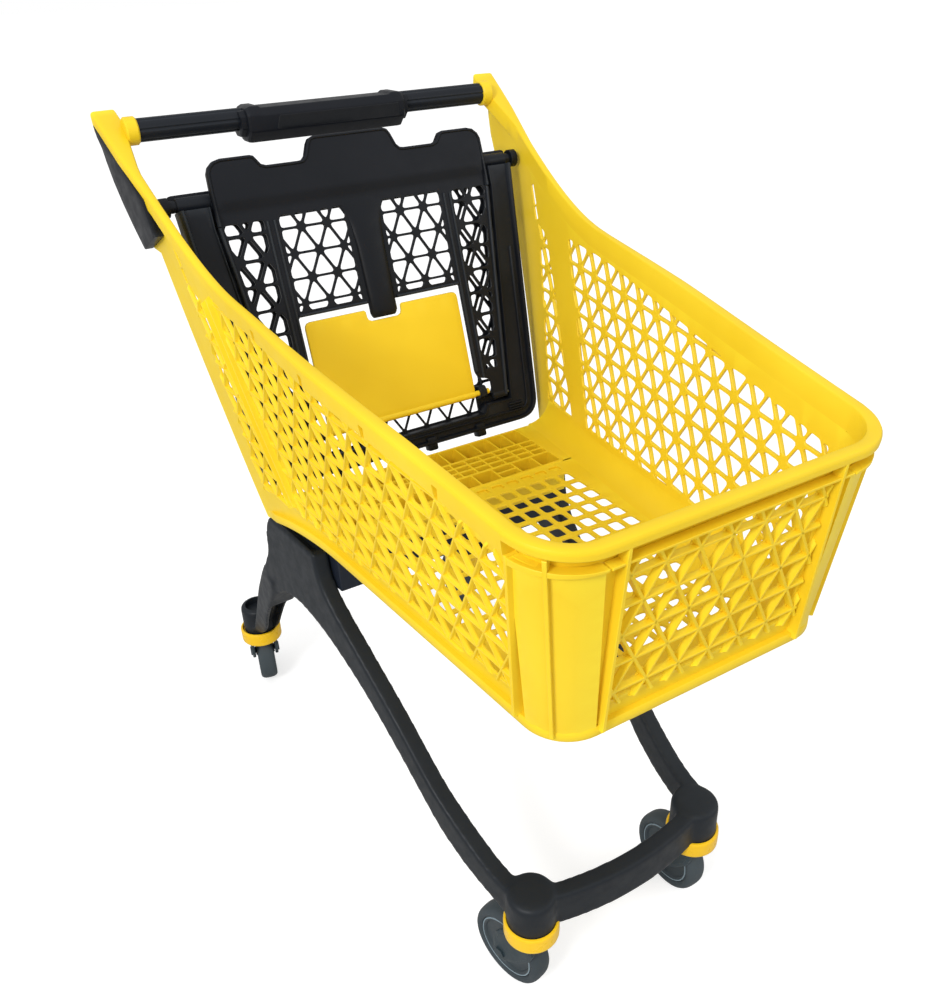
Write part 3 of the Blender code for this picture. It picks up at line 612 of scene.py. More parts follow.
# Light grey-blue hub lip colour: a painted highlight on the hub's lip, not the plastic's own colour.
HUB_LIP_HIGHLIGHT = plastic("hub_lip_painted_highlight", (0.22, 0.29, 0.33), (0.17, 0.23, 0.27), 0.3, sheen=0.5)
TYRE = plastic(
    "tyre_rubber", (0.038, 0.05, 0.058), (0.054, 0.069, 0.078), 0.55, 500.0, 0.15, 0.3, (0.07, 0.09, 0.1)
)
ZINC = metal("zinc_plate", (0.56, 0.57, 0.58), 0.33)


# ---------------------------------------------------------------- basket walls

LATTICE = {"origin": (-0.3301, 0.7041), "along": (0.0371, 0.0033), "up": (0.02, 0.0335)}
MAIN_PANEL = [(-0.345, 0.56), (0.07, 0.56), (0.179, 0.8215), (0.06, 0.7985), (-0.372, 0.7365)]
REAR_PANEL = [(0.112, 0.555), (0.186, 0.549), (0.26, 0.8144), (0.2356, 0.8034)]
FRONT_PANEL = [(-0.119, 0.556), (0.119, 0.556), (0.119, 0.7275), (-0.119, 0.7275)]
FRONT_LATTICE = {"origin": (0.0, 0.712), "along": (0.0385, 0.0), "up": (0.01925, 0.0345)}
RIB = 0.0036
HOLE_R = 0.0052
FIN = 0.0026
FIN_TOP = -0.002
# Crossing fins differ this much in height, so that their tops don't coincide
FIN_STEP = 0.00012
POCKETS = (0.0487, -0.0658, -0.18, -0.295)


def side_outline():
    """The side wall in (y, z): along the skirt, up the arm's rear edge and back under the rim."""
    tangent_low = foot_corner(0.0)[0].y
    tangent_high = rim_corner(0.0)[0].y
    bottom = []
    for i in range(41):
        y = tangent_low + (SKIRT_REAR_Y - tangent_low) * i / 40
        bottom.append((y, skirt_z(y)))
    top = []
    for i in range(57):
        y = 0.44 + (tangent_high - 0.44) * i / 56
        top.append((y, rim_z(y) - RIM_DEPTH + 0.0004))
    arm = divided(ARM_REAR[::-1], 0.02)
    arm = arm[: arm.index(ARM_REAR[0]) + 1]
    front = divided([top[-1], bottom[0]], 0.012)
    front = front[1 : len(front) // 2]
    return bottom + arm + top + front


def slots_near_arm():
    """Two narrow slots beside the hinge."""
    first = [(0.27, 0.842), (0.276, 0.839), (0.288, 0.866), (0.283, 0.869)]
    second = [(0.262, 0.822), (0.268, 0.819), (0.276, 0.836), (0.271, 0.839)]
    return [rounded(first, 0.002), rounded(second, 0.002)]


def make_walls():
    bm = bmesh.new()
    for side in (-1, 1):
        place = side_place(side)
        holes = isogrid_holes(MAIN_PANEL, rib=RIB, radius=HOLE_R, **LATTICE)
        holes += isogrid_holes(REAR_PANEL, rib=RIB, radius=HOLE_R, **LATTICE)
        add_sheet(bm, side_outline(), holes + slots_near_arm(), place, INNER, SKIN)
        corner = quad((0, 0.526), (CORNER_ARC, 0.526), (CORNER_ARC, 0.7312), (0, 0.7396), 0.008)
        add_sheet(bm, corner, [], corner_place(side), INNER, POST)
    tangent = foot_corner(1.0)[0].x
    tangent_high = rim_corner(1.0)[0].x
    front = quad((-tangent, 0.526), (tangent, 0.526), (tangent_high, 0.7312), (-tangent_high, 0.7312))
    holes = isogrid_holes(FRONT_PANEL, rib=RIB, radius=HOLE_R, **FRONT_LATTICE)
    add_sheet(bm, front, holes, front_place, INNER, SKIN)
    piece("basket_walls", bm, "cart", YELLOW, ("basket",))


def upright(foot, top):
    """The outline of a narrow upright rib, from the middles of its ends."""
    half = 0.002
    (x0, y0), (x1, y1) = foot, top
    return quad((x0 - half, y0), (x0 + half, y0), (x1 + half, y1), (x1 - half, y1))


def make_ribs():
    """Fins along every lattice line, and the upright ribs and ledges beside them."""
    bm = bmesh.new()
    families = ((MAIN_PANEL, LATTICE, 0.009), (REAR_PANEL, LATTICE, 0.004))
    for side in (-1, 1):
        place = side_place(side)
        for panel, lattice, fin in families:
            for number, (start, end) in enumerate(isogrid_lines(panel, fin=fin, **lattice)):
                drop = FIN_STEP * (number % 3)
                add_fin(bm, start, end, place, FIN, ROOT, FIN_TOP - drop)
        for start, end in (((0.083, 0.562), (0.19, 0.823)), ((0.1, 0.56), (0.212, 0.812))):
            add_fin(bm, Vector(start), Vector(end), place, 0.003, ROOT, 0.002)
        corner = corner_place(side)
        strip = upright((-0.3579, 0.5365), (-0.385, 0.74))
        add_sheet(bm, strip, [], place, ROOT, lambda y, z: rim_out(y) - 0.001, outer_edge=0.0005)
        u = CORNER_ARC * 0.42
        add_sheet(bm, upright((u, 0.5325), (u, 0.748)), [], corner, ROOT, 0.0068, outer_edge=0.0005)
        ledge = quad((0.0, 0.7305), (CORNER_ARC, 0.7305), (CORNER_ARC, 0.7335), (0.0, 0.7385), 0.006)
        add_sheet(bm, ledge, [], corner, ROOT, 0.0064, outer_edge=0.0005)
        strip = upright((side * 0.1255, 0.532), (side * 0.1255, 0.748))
        add_sheet(bm, strip, [], front_place, ROOT, 0.0072, outer_edge=0.0005)
    for number, (start, end) in enumerate(isogrid_lines(FRONT_PANEL, fin=0.006, **FRONT_LATTICE)):
        drop = FIN_STEP * (number % 3)
        add_fin(bm, start, end, front_place, 0.0034, ROOT, 0.001 - drop)
    ledge = quad((-0.141, 0.7305), (0.141, 0.7305), (0.141, 0.7335), (-0.141, 0.7335))
    add_sheet(bm, ledge, [], front_place, ROOT, 0.0064, outer_edge=0.0005)
    piece("basket_ribs", bm, "cart", YELLOW)


def rim_lean(low, high, out):
    return (high - low).dot(out) / (high.z - low.z)


def rim_station(point, direction, y, deep, lean):
    """Section of the rim: rounded on top, with a short flange in front and a deep one on the sides."""
    outer, inner = rim_out(y), rim_in(y)
    drop = -RIM_DEPTH if deep else -0.0115
    profile = [
        (ROOT, drop),
        (outer - 0.0012, drop),
        (outer, drop + 0.0014),
        (outer, -0.0052),
        (outer - 0.0005, -0.003),
        (outer - 0.0018, -0.0011),
        (outer - 0.004, -0.0003),
        (outer - 0.006, 0.0),
        (inner + 0.0034, 0.0),
        (inner + 0.0012, -0.0008),
        (inner, -0.0028),
        (inner, 0.004 - RIM_DEPTH),
        (min(inner + 0.003, INNER), 0.0004 - RIM_DEPTH),
        (INNER, -RIM_DEPTH),
        (ROOT, -RIM_DEPTH),
    ]
    return [point + direction * (out + lean * up) + Vector((0, -MIDDLE_Y, up)) for out, up in profile]


def make_rim():
    """The rim from one arm's top, down the side, round the front and up the other arm."""
    side_out = Vector((1, -RIM_FLARE, 0)).normalized()
    tangent = rim_corner(0.0)[0].y
    right = []
    steps = 70
    for i in range(steps + 1):
        y = ARM_TOP_Y + (tangent - ARM_TOP_Y) * i / steps
        point = Vector((wall_x(y, rim_z(y)), y, rim_z(y)))
        lean = rim_lean(Vector((wall_x(y, skirt_z(y)), y, skirt_z(y))), point, side_out)
        right.append(rim_station(point, side_out, y, True, lean))
    right.append(rim_station(point + Vector((0, -0.0004, 0)), side_out, y, False, lean))
    for i in range(1, 15):
        point, out = rim_corner(i / 14)
        foot = foot_corner(i / 14)[0]
        right.append(rim_station(point - out * 0.0005, out, point.y, False, rim_lean(foot, point, out)))
    left = [[Vector((-p.x, p.y, p.z)) for p in ring] for ring in reversed(right)]
    bm = bmesh.new()
    add_loft(bm, right + left)
    rim = piece("basket_rim", bm, "cart", YELLOW, smooth=32)
    pockets = bmesh.new()
    for side in (-1, 1):
        for y in POCKETS:
            z = rim_z(y)
            outline = rounded(
                [
                    (y - 0.004, z - 0.0125), (y + 0.0045, z - 0.011), (y + 0.003, z - 0.025),
                    (y - 0.002, z - 0.0255)
                ][::-1],
                0.0008, 1
            )
            add_sheet(pockets, outline, [], side_place(side), rim_out(y) - 0.005, rim_out(y) + 0.004)
    cut_from(rim, pockets)


def lower_path(rear_y):
    """Points (point, outward) of the lower edge's outer line, right rear to left rear."""
    tangent = foot_corner(0.0)[0].y
    side_out = Vector((1, -SKIRT_FLARE, 0)).normalized()
    right = []
    for i in range(40):
        y = rear_y + (tangent - rear_y) * i / 40
        right.append(
            (Vector((SKIRT_FRONT[0] + SKIRT_FLARE * (y - SKIRT_FRONT[1]), y, skirt_z(y))), side_out)
        )
    for i in range(13):
        right.append(foot_corner(i / 12))
    flip = Vector((-1, 1, 1))
    return right + [(point * flip, out * flip) for point, out in reversed(right)]


def make_skirt():
    """The rounded lower edge outside, and the wide fillet from the walls down to the floor inside."""
    bm = bmesh.new()
    rings = []
    for point, out in lower_path(SKIRT_REAR_Y):
        fade = 1.0 - share(point.y, 0.16, 0.2)
        lip = 0.0082 * fade
        profile = [
            (INNER, 0.0),
            (SKIN + lip - 0.0015, 0.0),
            (SKIN + lip, 0.0016),
            (SKIN + lip, 0.0105),
            (SKIN + lip - 0.0012, 0.0122),
            (SKIN - 0.0004, 0.0126),
            (INNER, 0.0126),
        ]
        rings.append([point + out * x + Vector((0, -MIDDLE_Y, z)) for x, z in profile])
    add_loft(bm, rings)
    rings = []
    radius = 0.032
    for point, out in lower_path(0.186):
        lean = Vector((0, 0, 1)) + out * 0.11
        foot = Vector((point.x, point.y - MIDDLE_Y, FLOOR_TOP))
        ring = []
        for r in (radius, radius + 0.0032):
            arc = []
            for i in range(9):
                angle = pi / 2 * i / 8
                arc.append((-0.0072 - radius + r * sin(angle), radius - r * cos(angle)))
            ring += arc if r == radius else arc[::-1]
        rings.append([foot + out * x + lean * z for x, z in ring])
    add_loft(bm, rings)
    piece("basket_lower_edge", bm, "cart", YELLOW, smooth=45)


# ---------------------------------------------------------------- basket floor

BOX_ROWS = [(0.062, 0.092), (0.0965, 0.1075), (0.1115, 0.1225), (0.1265, 0.1375), (0.1415, 0.1815)]


def floor_half(y):
    return SKIRT_FRONT[0] + SKIRT_FLARE * (y - SKIRT_FRONT[1]) - 0.04


def rectangle(x0, x1, y0, y1, radius):
    return rounded([(x0, y0), (x1, y0), (x1, y1), (x0, y1)], radius, 3)


def make_floor():
    bm = bmesh.new()
    front_y = SKIRT_FRONT[1] + 0.04
    half = floor_half(front_y)
    outline = [
        (-half + 0.002, front_y - 0.004), (half - 0.002, front_y - 0.004), (half + 0.006, front_y + 0.004),
        (floor_half(0.058) + 0.012, 0.0585)
    ]
    outline += [(-floor_half(0.058) - 0.012, 0.0585), (-half - 0.006, front_y + 0.004)]
    holes = []
    for row in range(13):
        y = 0.0145 - 0.0285 * row
        columns = int((floor_half(y) - 0.01) / 0.024)
        for column in range(-columns, columns + 1):
            x = column * 0.024
            holes.append(rectangle(x - 0.0086, x + 0.0086, y - 0.0106, y + 0.0106, 0.0042))
    for column in range(-6, 7):
        x = column * 0.024
        holes.append(rectangle(x - 0.008, x + 0.008, 0.0375, 0.049, 0.0025))
    add_sheet(bm, divided(outline, 0.02), holes, floor_place, -0.0035, 0.0, spacing=0.03)
    add_sheet(
        bm, quad((-0.175, 0.034), (0.175, 0.034), (0.175, 0.054), (-0.175, 0.054), 0.05), [], floor_place,
        -0.006, -0.003
    )
    for side in (-1, 1):
        strip = [(side * 0.168, 0.056), (side * 0.206, 0.056), (side * 0.216, 0.186), (side * 0.168, 0.186)]
        add_sheet(bm, divided(strip[::side], 0.02), [], floor_place, -0.0035, 0.0)
    piece("basket_floor", bm, "cart", YELLOW)


def make_rear_box():
    """The deep grid under the floor's rear end, closed below."""
    bm = bmesh.new()
    holes = []
    for number, (y0, y1) in enumerate(BOX_ROWS):
        count = 10 if number == 0 else 14 if number < 4 else 12
        pitch = 0.336 / count
        for column in range(count):
            x = -0.168 + pitch * column
            if number == 0 and column % 3 == 1:
                holes.append(rectangle(x + 0.0015, x + pitch - 0.0015, y0, (y0 + y1) / 2 - 0.0015, 0.0015))
                holes.append(rectangle(x + 0.0015, x + pitch - 0.0015, (y0 + y1) / 2 + 0.0015, y1, 0.0015))
            else:
                holes.append(rectangle(x + 0.0015, x + pitch - 0.0015, y0, y1, 0.0018))
    outline = divided([(-0.172, 0.058), (0.172, 0.058), (0.172, 0.185), (-0.172, 0.185)], 0.02)
    add_sheet(bm, outline, holes, floor_place, -0.047, 0.0006, edge=0.0005, outer_edge=0.0005)
    add_sheet(bm, outline, [], floor_place, -0.048, -0.044)
    piece("basket_rear_box", bm, "cart", YELLOW)


# ---------------------------------------------------------------- gate and child seat

SEAT_LATTICE = {"origin": (0.01875, -0.0495), "along": (0.0375, 0.0), "up": (0.01875, 0.0338)}


def seat_half(v):
    """Half width of the child seat's back."""
    return 0.206 - 0.0305 * max(0.0, (-0.0368 - v) / 0.3109)


def gate_half(v):
    return 0.25 - 0.024 * (-0.02 - v) / 0.34


def add_bead(bm, path, place, width, low, high, closed=False):
    """A rounded strip along a flat path."""
    points = [Vector(p) for p in path]
    count = len(points)
    rings = []
    for i, here in enumerate(points):
        ahead = points[(i + 1) % count] - here if closed or i < count - 1 else here - points[i - 1]
        back = here - points[i - 1] if closed or i else ahead
        ahead, back = ahead.normalized(), back.normalized()
        normal = Vector((ahead.y + back.y, -ahead.x - back.x)) / max(0.6, 1 + ahead.dot(back))
        ring = []
        for across, up in SECTION:
            flat = here + normal * across * width
            ring.append(place(flat.x, flat.y, low + (high - low) * up))
        rings.append(ring)
    add_loft(bm, rings, closed)


SECTION = [(-0.5, 0), (0.5, 0), (0.5, 0.6), (0.44, 0.8), (0.32, 0.93), (0.14, 1), (-0.14, 1), (-0.32, 0.93)]
SECTION += [(-0.44, 0.8), (-0.5, 0.6)]


def both(outline):
    """A right-hand path with its mirror image, running from left to right."""
    return [(-x, y) for x, y in reversed(outline) if abs(x) > 1e-6] + outline


def gate_line(inset):
    """The gate border's outer edge, from the foot's middle to the top right."""
    bottom = -0.391 + inset
    corner = Vector((gate_half(bottom) - inset, bottom))
    top = Vector((gate_half(-0.008) - inset, -0.008))
    reach = 0.034 - inset
    start, end = corner + Vector((-reach, 0)), corner + (top - corner).normalized() * reach
    line = [(0.0, bottom), (0.1, bottom)]
    for i in range(9):
        t = i / 8
        line.append(tuple((1 - t) ** 2 * start + 2 * t * (1 - t) * corner + t**2 * end))
    return line + [tuple(end.lerp(top, t)) for t in (0.33, 0.66, 1.0)]


def gate_inside(inset):
    """The border's inner edge, from the foot's middle to the top right."""
    foot, row = -0.352 - inset, -0.3645 - inset
    line = [
        (0.0, row), (0.128 + inset, row), (0.136 + inset, foot), (seat_half(foot) + 0.003 + inset, foot)
    ]
    return line + [(seat_half(-0.0368) + 0.003 + inset, -0.0368), (seat_half(0) + 0.003 + inset, -0.008)]


def side_region(x_in, low, high, reach_low, reach_high, side):
    corners = [(x_in, low), (reach_low, low), (reach_high, high), (x_in, high)]
    return corners if side > 0 else [(-x, v) for x, v in reversed(corners)]


def tube(bm, start, end, radius, place, steps=28, edge=0.0008):
    """A round bar along X, its ends chamfered, at a place of (x, first, second)."""
    rings = []
    lip = edge if end > start else -edge
    for x, r in ((start, radius - edge), (start + lip, radius), (end - lip, radius), (end, radius - edge)):
        rings.append(
            [place(x, r * cos(2 * pi * i / steps), r * sin(2 * pi * i / steps)) for i in range(steps)]
        )
    add_loft(bm, rings)


def make_gate():
    bm = bmesh.new()
    face = both(gate_line(0.003)) + both(gate_inside(0.003))[::-1]
    add_sheet(bm, divided(face, 0.02), [], gate_place, 0.0125, 0.016)
    add_bead(bm, both(gate_line(0.0045)), gate_place, 0.009, -0.008, 0.022)
    add_bead(bm, both(gate_line(0.017))[1:-1], gate_place, 0.004, 0.013, 0.019)
    add_bead(bm, both(gate_inside(0.002)), gate_place, 0.004, -0.006, 0.0195)
    web = mirrored(
        [
            (0, -0.368), (0.137, -0.368), (seat_half(-0.355) + 0.004, -0.355), (0.213, -0.037),
            (0.213, -0.004)
        ]
    )
    holes = [rounded([(-0.139, -0.322), (0.139, -0.322), (0.139, -0.032), (-0.139, -0.032)], 0.008)]
    for side in (-1, 1):
        region = side_region(0.1435, -0.34, -0.033, 0.168, 0.202, side)
        holes += isogrid_holes(region, rib=0.0042, radius=0.0045, **SEAT_LATTICE)
    foot = [(-0.129, -0.362), (0.129, -0.362), (0.129, -0.3325), (-0.129, -0.3325)]
    shifted = dict(SEAT_LATTICE, origin=(0.0, -0.3635))
    holes += isogrid_holes(foot, rib=0.003, radius=0.0015, **shifted)
    add_sheet(bm, divided(web, 0.02), holes, gate_place, -0.004, 0.0)
    add_bead(bm, [(-0.136, -0.3275), (0.136, -0.3275)], gate_place, 0.009, -0.004, 0.006)
    for side in (-1, 1):
        add_bead(bm, [(side * 0.1412, -0.345), (side * 0.1412, -0.034)], gate_place, 0.003, -0.004, 0.003)
        tube(bm, side * 0.15, side * 0.249, 0.0102, gate_place)
        root = rectangle(0.15, 0.248, -0.03, -0.004, 0.003)
        root = [(side * x, v) for x, v in root]
        add_sheet(bm, root, [], gate_place, -0.0038, 0.006, outer_edge=0.001)
        for x in (0.032, 0.117):
            hook = rectangle(side * x - 0.008, side * x + 0.008, -0.3985, -0.378, 0.003)
            add_sheet(bm, hook, [], gate_place, 0.006, 0.0205, outer_edge=0.002)
        for v in (-0.362, -0.366, -0.37):
            tooth = rectangle(side * 0.186 - 0.012, side * 0.186 + 0.012, v - 0.001, v + 0.001, 0.0008)
            add_sheet(bm, tooth, [], gate_place, 0.013, 0.0205, outer_edge=0.0004)
        lug = rounded(
            [(-0.344, -0.002), (-0.323, -0.002), (-0.323, 0.015), (-0.33, 0.0195), (-0.34, 0.0195)], 0.004
        )
        add_sheet(
            bm, lug, [], lambda v, n, out: gate_place(side * (0.134 + out), v, n), -0.006, 0.006,
            outer_edge=0.001
        )
    bar = rectangle(-0.257, 0.257, 0.0005, 0.0145, 0.0068)
    add_sheet(bm, divided(bar, 0.03), [], gate_place, -0.0125, -0.005, outer_edge=0.001)
    piece("gate_panel", bm, "gate", BLACK, ("rear_gate",))


def back_face(x, v):
    """Height of the backrest's face, which steps back under the grip edge."""
    return 0.0206 - 0.0038 * share(v, -0.0085, -0.0165)


def make_seat_back():
    bm = bmesh.new()
    top = [
        (0, 0.0626), (0.052, 0.0626), (0.0585, 0.06), (0.0625, 0.054), (0.0685, 0.039), (0.0735, 0.0343),
        (0.079, 0.0335)
    ]
    top += [(0.124, 0.0335), (0.1305, 0.0358), (0.1345, 0.0415), (0.1385, 0.047), (0.1435, 0.0485)]
    top += [(0.184, 0.0485), (0.194, 0.046), (0.201, 0.04), (0.2045, 0.032)]
    sides = [(0.2055, 0.01), (0.206, -0.0138), (0.206, -0.0368), (seat_half(-0.3477), -0.3477)]
    window = [
        (0.152, -0.3477), (0.15, -0.3457), (0.15, -0.32), (0.147, -0.315), (0.13, -0.308), (0.127, -0.302)
    ]
    window += [
        (0.127, -0.1697), (0.125, -0.1677), (0.021, -0.1677), (0.021, -0.183), (0.0155, -0.1886),
        (0, -0.1886)
    ]
    outline = divided(mirrored(top + sides + window), 0.016)
    holes = []
    for side in (-1, 1):
        centre = side_region(0.028, -0.16, -0.0315, 0.1225, 0.1225, side)
        holes += isogrid_holes(centre, rib=0.0034, radius=0.004, **SEAT_LATTICE)
        flank = side_region(0.1435, -0.3, -0.034, 0.166, 0.199, side)
        holes += isogrid_holes(flank, rib=0.004, radius=0.004, **SEAT_LATTICE)
    add_sheet(bm, outline, holes, gate_place, 0.0125, back_face, outer_edge=0.0012, spacing=0.0078)
    edge = both(grown(mirrored(top + sides[:3]), -0.0025)[: len(top + sides[:3])])
    add_bead(bm, edge, gate_place, 0.005, 0.0115, 0.0222)
    for side in (-1, 1):
        place = side_mirror(side)
        add_bead(bm, [(0.2035, -0.036), (seat_half(-0.345) - 0.0025, -0.345)], place, 0.005, 0.0115, 0.02)
        add_bead(bm, [(0.1295, -0.3), (0.1295, -0.036)], place, 0.0042, 0.0115, 0.0192)
        add_bead(bm, [(0.1395, -0.312), (0.1395, -0.036)], place, 0.0042, 0.0115, 0.0192)
        add_bead(bm, [(0.024, -0.1655), (0.126, -0.1655)], place, 0.0046, 0.0115, 0.0195)
        tube(
            bm, side * 0.151, side * 0.1745, 0.0052, lambda x, a, b: gate_place(x, -0.342 + a, 0.013 + b),
            20, 0.0006
        )
    rings = []
    post = [(-0.017, 0.042, 0.016), (-0.027, 0.038, 0.0172), (-0.036, 0.031, 0.0184), (-0.046, 0.026, 0.02)]
    post += [(-0.06, 0.0232, 0.0217), (-0.09, 0.0214, 0.0232), (-0.15, 0.0205, 0.024), (-0.18, 0.02, 0.024)]
    post += [(-0.186, 0.019, 0.0225), (-0.1895, 0.0165, 0.019)]
    for v, half, high in post:
        ring = [gate_place(-half, v, 0.0116), gate_place(half, v, 0.0116)]
        for i in range(13):
            angle = pi * i / 12
            ring.append(gate_place(half * cos(angle), v, 0.015 + (high - 0.015) * sin(angle) ** 0.7))
        rings.append(ring)
    add_loft(bm, rings)
    piece("seat_back_panel", bm, "child_seat_back", BLACK, ("seat_back",))


def side_mirror(side):
    return lambda x, v, out: gate_place(side * x, v, out)


def make_flap():
    bm = bmesh.new()
    outline = [
        (0, -0.1925), (0.021, -0.1925), (0.0255, -0.19), (0.027, -0.186), (0.0275, -0.1785), (0.03, -0.176)
    ]
    outline += [
        (0.113, -0.176), (0.1175, -0.1775), (0.1202, -0.181), (0.121, -0.186), (0.121, -0.3315),
        (0, -0.3315)
    ]
    add_sheet(bm, divided(mirrored(outline), 0.015), [], gate_place, 0.01, 0.016, outer_edge=0.0018)
    barrel = lambda x, a, b: gate_place(x, -0.3335 + a, 0.0125 + b)
    tube(bm, -0.121, 0.121, 0.0055, barrel)
    tube(bm, -0.146, 0.146, 0.0043, barrel)
    piece("seat_flap_panel", bm, "child_seat_flap", YELLOW, ("seat_flap",))


# ---------------------------------------------------------------- handle

HANDLE = (0.417, 0.985)
GROOVES = (62, 118, 175, 232, 298, 355)


def handle_place(x, y, z):
    return Vector((x, HANDLE[0] + y - MIDDLE_Y, HANDLE[1] + z))


def make_handle():
    """The tube, grooved lengthwise."""
    low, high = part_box("handle_tube")
    section = []
    for i in range(120):
        angle = 3 * i
        gap = min(abs((angle - groove + 180) % 360 - 180) for groove in GROOVES)
        radius = 0.0148 - 0.0013 * max(0.0, 1 - (gap / 7.5) ** 4)
        section.append((radius * cos(radians(angle)), radius * sin(radians(angle))))
    bm = bmesh.new()
    rings = []
    for x in (low[0], high[0]):
        rings.append([handle_place(x, y, z) for y, z in section])
    add_loft(bm, rings)
    piece("handle_grip", bm, "cart", BLACK, ("handle_tube",))


MODULE = [
    (-0.029, 0.006), (-0.021, 0.0158), (0.017, 0.0158), (0.027, 0.008), (0.025, -0.016), (0.012, -0.03)
]
MODULE += [(-0.014, -0.03), (-0.029, -0.015)]


def make_module():
    """The moulded block in the middle of the handle, with a stepped collar at each end."""
    bm = bmesh.new()
    section = rounded(MODULE, 0.0045, 4)
    stations = [
        (0.1268, 0.66, 0.72), (0.1258, 0.72, 0.76), (0.119, 0.74, 0.78), (0.1182, 0.9, 0.93),
        (0.116, 0.98, 0.99)
    ]
    stations += [(0.112, 1.0, 1.1), (0.101, 1.0, 1.1), (0.0965, 1.0, 0.93), (0.0, 1.0, 0.93)]
    rings = []
    for x, scale, rise in [(-x, a, b) for x, a, b in stations] + stations[-2::-1]:
        rings.append([handle_place(x, y * scale, z * (rise if z > 0 else scale)) for y, z in section])
    add_loft(bm, rings)
    names = ("handle_module_top", "handle_module_bottom")
    piece("handle_module", bm, "cart", BLACK, names, 30)
    pad = bmesh.new()
    outline = rounded([(-0.08, -0.0138), (0.108, -0.0138), (0.108, 0.0035), (-0.074, 0.0035)], 0.002)
    add_sheet(
        pad, outline, [], lambda x, z, out: handle_place(x, -out, z), 0.028, 0.0294, outer_edge=0.0003
    )
    piece("handle_label_pad", pad, "cart", LABEL, ("handle_module_pad",))


def make_sockets():
    """The round sockets that hold the tube, running into the arms."""
    for side, label in SIDES:
        bm = bmesh.new()
        tube(bm, side * 0.26, side * 0.2765, 0.0178, handle_place, 40, 0.002)
        piece(f"handle_socket_look_{label}", bm, "cart", YELLOW, (f"handle_socket_{label}",))


def make_arm_covers():
    """Black covers wrapped round the rear edges of the arms."""
    below = [(y, rim_z(y) - 0.0135) for y in (0.322, 0.34, 0.36, 0.38, 0.4, 0.42, 0.438, 0.45)]
    rear = [(0.4535, 0.993), (0.45, 0.978)] + [(y + 0.0012, z) for y, z in ARM_REAR[:6]]
    outline = [(0.308, 0.872), (0.312, 0.88)] + below + rear
    for side, label in SIDES:
        bm = bmesh.new()
        add_sheet(bm, divided(outline, 0.014), [], side_place(side), -0.005, 0.0074, outer_edge=0.0016)
        piece(f"arm_cover_look_{label}", bm, "cart", BLACK, (f"arm_cover_{label}",))


# ---------------------------------------------------------------- frame

FRAME_TOP = [(-0.302, 0.18), (-0.25, 0.184), (-0.21, 0.197), (-0.17, 0.215), (-0.13, 0.239), (-0.06, 0.299)]
FRAME_TOP += [(0.02, 0.361), (0.07, 0.4), (0.098, 0.434), (0.106, 0.474)]
FRAME_REAR = [
    (0.228, 0.48), (0.243, 0.462), (0.249, 0.44), (0.253, 0.415), (0.268, 0.386), (0.298, 0.349),
    (0.318, 0.322)
]
FRAME_UNDER = [(0.29, 0.283), (0.262, 0.318), (0.235, 0.343), (0.2, 0.357), (0.16, 0.359), (0.1, 0.344)]
FRAME_UNDER += [
    (0.02, 0.304), (-0.06, 0.246), (-0.14, 0.18), (-0.18, 0.159), (-0.22, 0.146), (-0.302, 0.134)
]
LEG = [
    (0.355, (0.2336, 0.292), (0.2336, 0.246), (0.191, 0.246), (0.191, 0.292)),
    (0.322, (0.2336, 0.318), (0.2336, 0.262), (0.191, 0.268), (0.191, 0.318)),
    (0.29, (0.2336, 0.341), (0.2336, 0.284), (0.1909, 0.296), (0.1909, 0.343)),
    (0.245, (0.2336, 0.367), (0.2325, 0.32), (0.1904, 0.34), (0.1904, 0.38)),
    (0.2, (0.2336, 0.394), (0.229, 0.352), (0.19, 0.376), (0.19, 0.418)),
    (0.165, (0.233, 0.418), (0.224, 0.391), (0.1895, 0.402), (0.1895, 0.444)),
    (0.14, (0.232, 0.44), (0.219, 0.424), (0.192, 0.426), (0.189, 0.455)),
]


def frame_place(side):
    """Out from the outer face of a side frame, whose two sides stand apart more towards the rear."""
    return lambda y, z, out: packed(side * (0.1954 + 0.1364 * min(y, 0.28) + out), y, z)


def curved(points, steps=4):
    """A smooth open line through the points."""
    result = []
    count = len(points)
    for i in range(count - 1):
        a, b, c, d = (Vector(points[max(0, min(count - 1, i + k))]) for k in (-1, 0, 1, 2))
        for k in range(steps):
            t = k / steps
            result.append(
                0.5 * (
                    2 * b + (c - a) * t + (
                        2 * a - 5 * b + 4 * c - d
                    ) * t**2 + (3 * b - a - 3 * c + d) * t**3
                )
            )
    return result + [Vector(points[-1])]


def add_leg(bm, side):
    """The sweep down to the rear socket: a channel open to the front."""
    flat = curved([(z, *a, *b, *c, *d) for z, a, b, c, d in LEG], 4)
    rings = []
    for z, ax, ay, bx, by, cx, cy, dx, dy in (tuple(v) for v in flat):
        a, b, c, d = Vector((ax, ay)), Vector((bx, by)), Vector((cx, cy)), Vector((dx, dy))
        deep = 0.0 if z > 0.3 else 0.72 * min(1.0, (0.3 - z) / 0.03)
        left, right = b.lerp(c, 0.2), c.lerp(b, 0.14)
        ring = [a, b, left, left.lerp(a.lerp(d, 0.2), deep), right.lerp(d.lerp(a, 0.14), deep), right, c, d]
        rings.append([packed(side * p.x, p.y, z) for p in ring])
    add_loft(bm, rings)


# How far below the dome's top as shares of its height, and how far inside the boss's radius
DOME = [(1.6, 0.0), (1.0, 0.0006), (0.4, 0.004), (0.1, 0.011), (0.0, 0.022)]
FRAME_FOOT = 0.129
PIN_HOLE_R = 0.0055
VOXEL = 0.0021
RELAX_STEPS = 24


def boss(bm, side, post, top, radius, dome):
    """A caster's socket: a short cylinder with a low dome."""
    stations = [(FRAME_FOOT, radius)] + [(top - dome * down, radius - inset) for down, inset in DOME]
    add_loft(bm, [circle(side * post[0], post[1], z, r, 40) for z, r in stations])


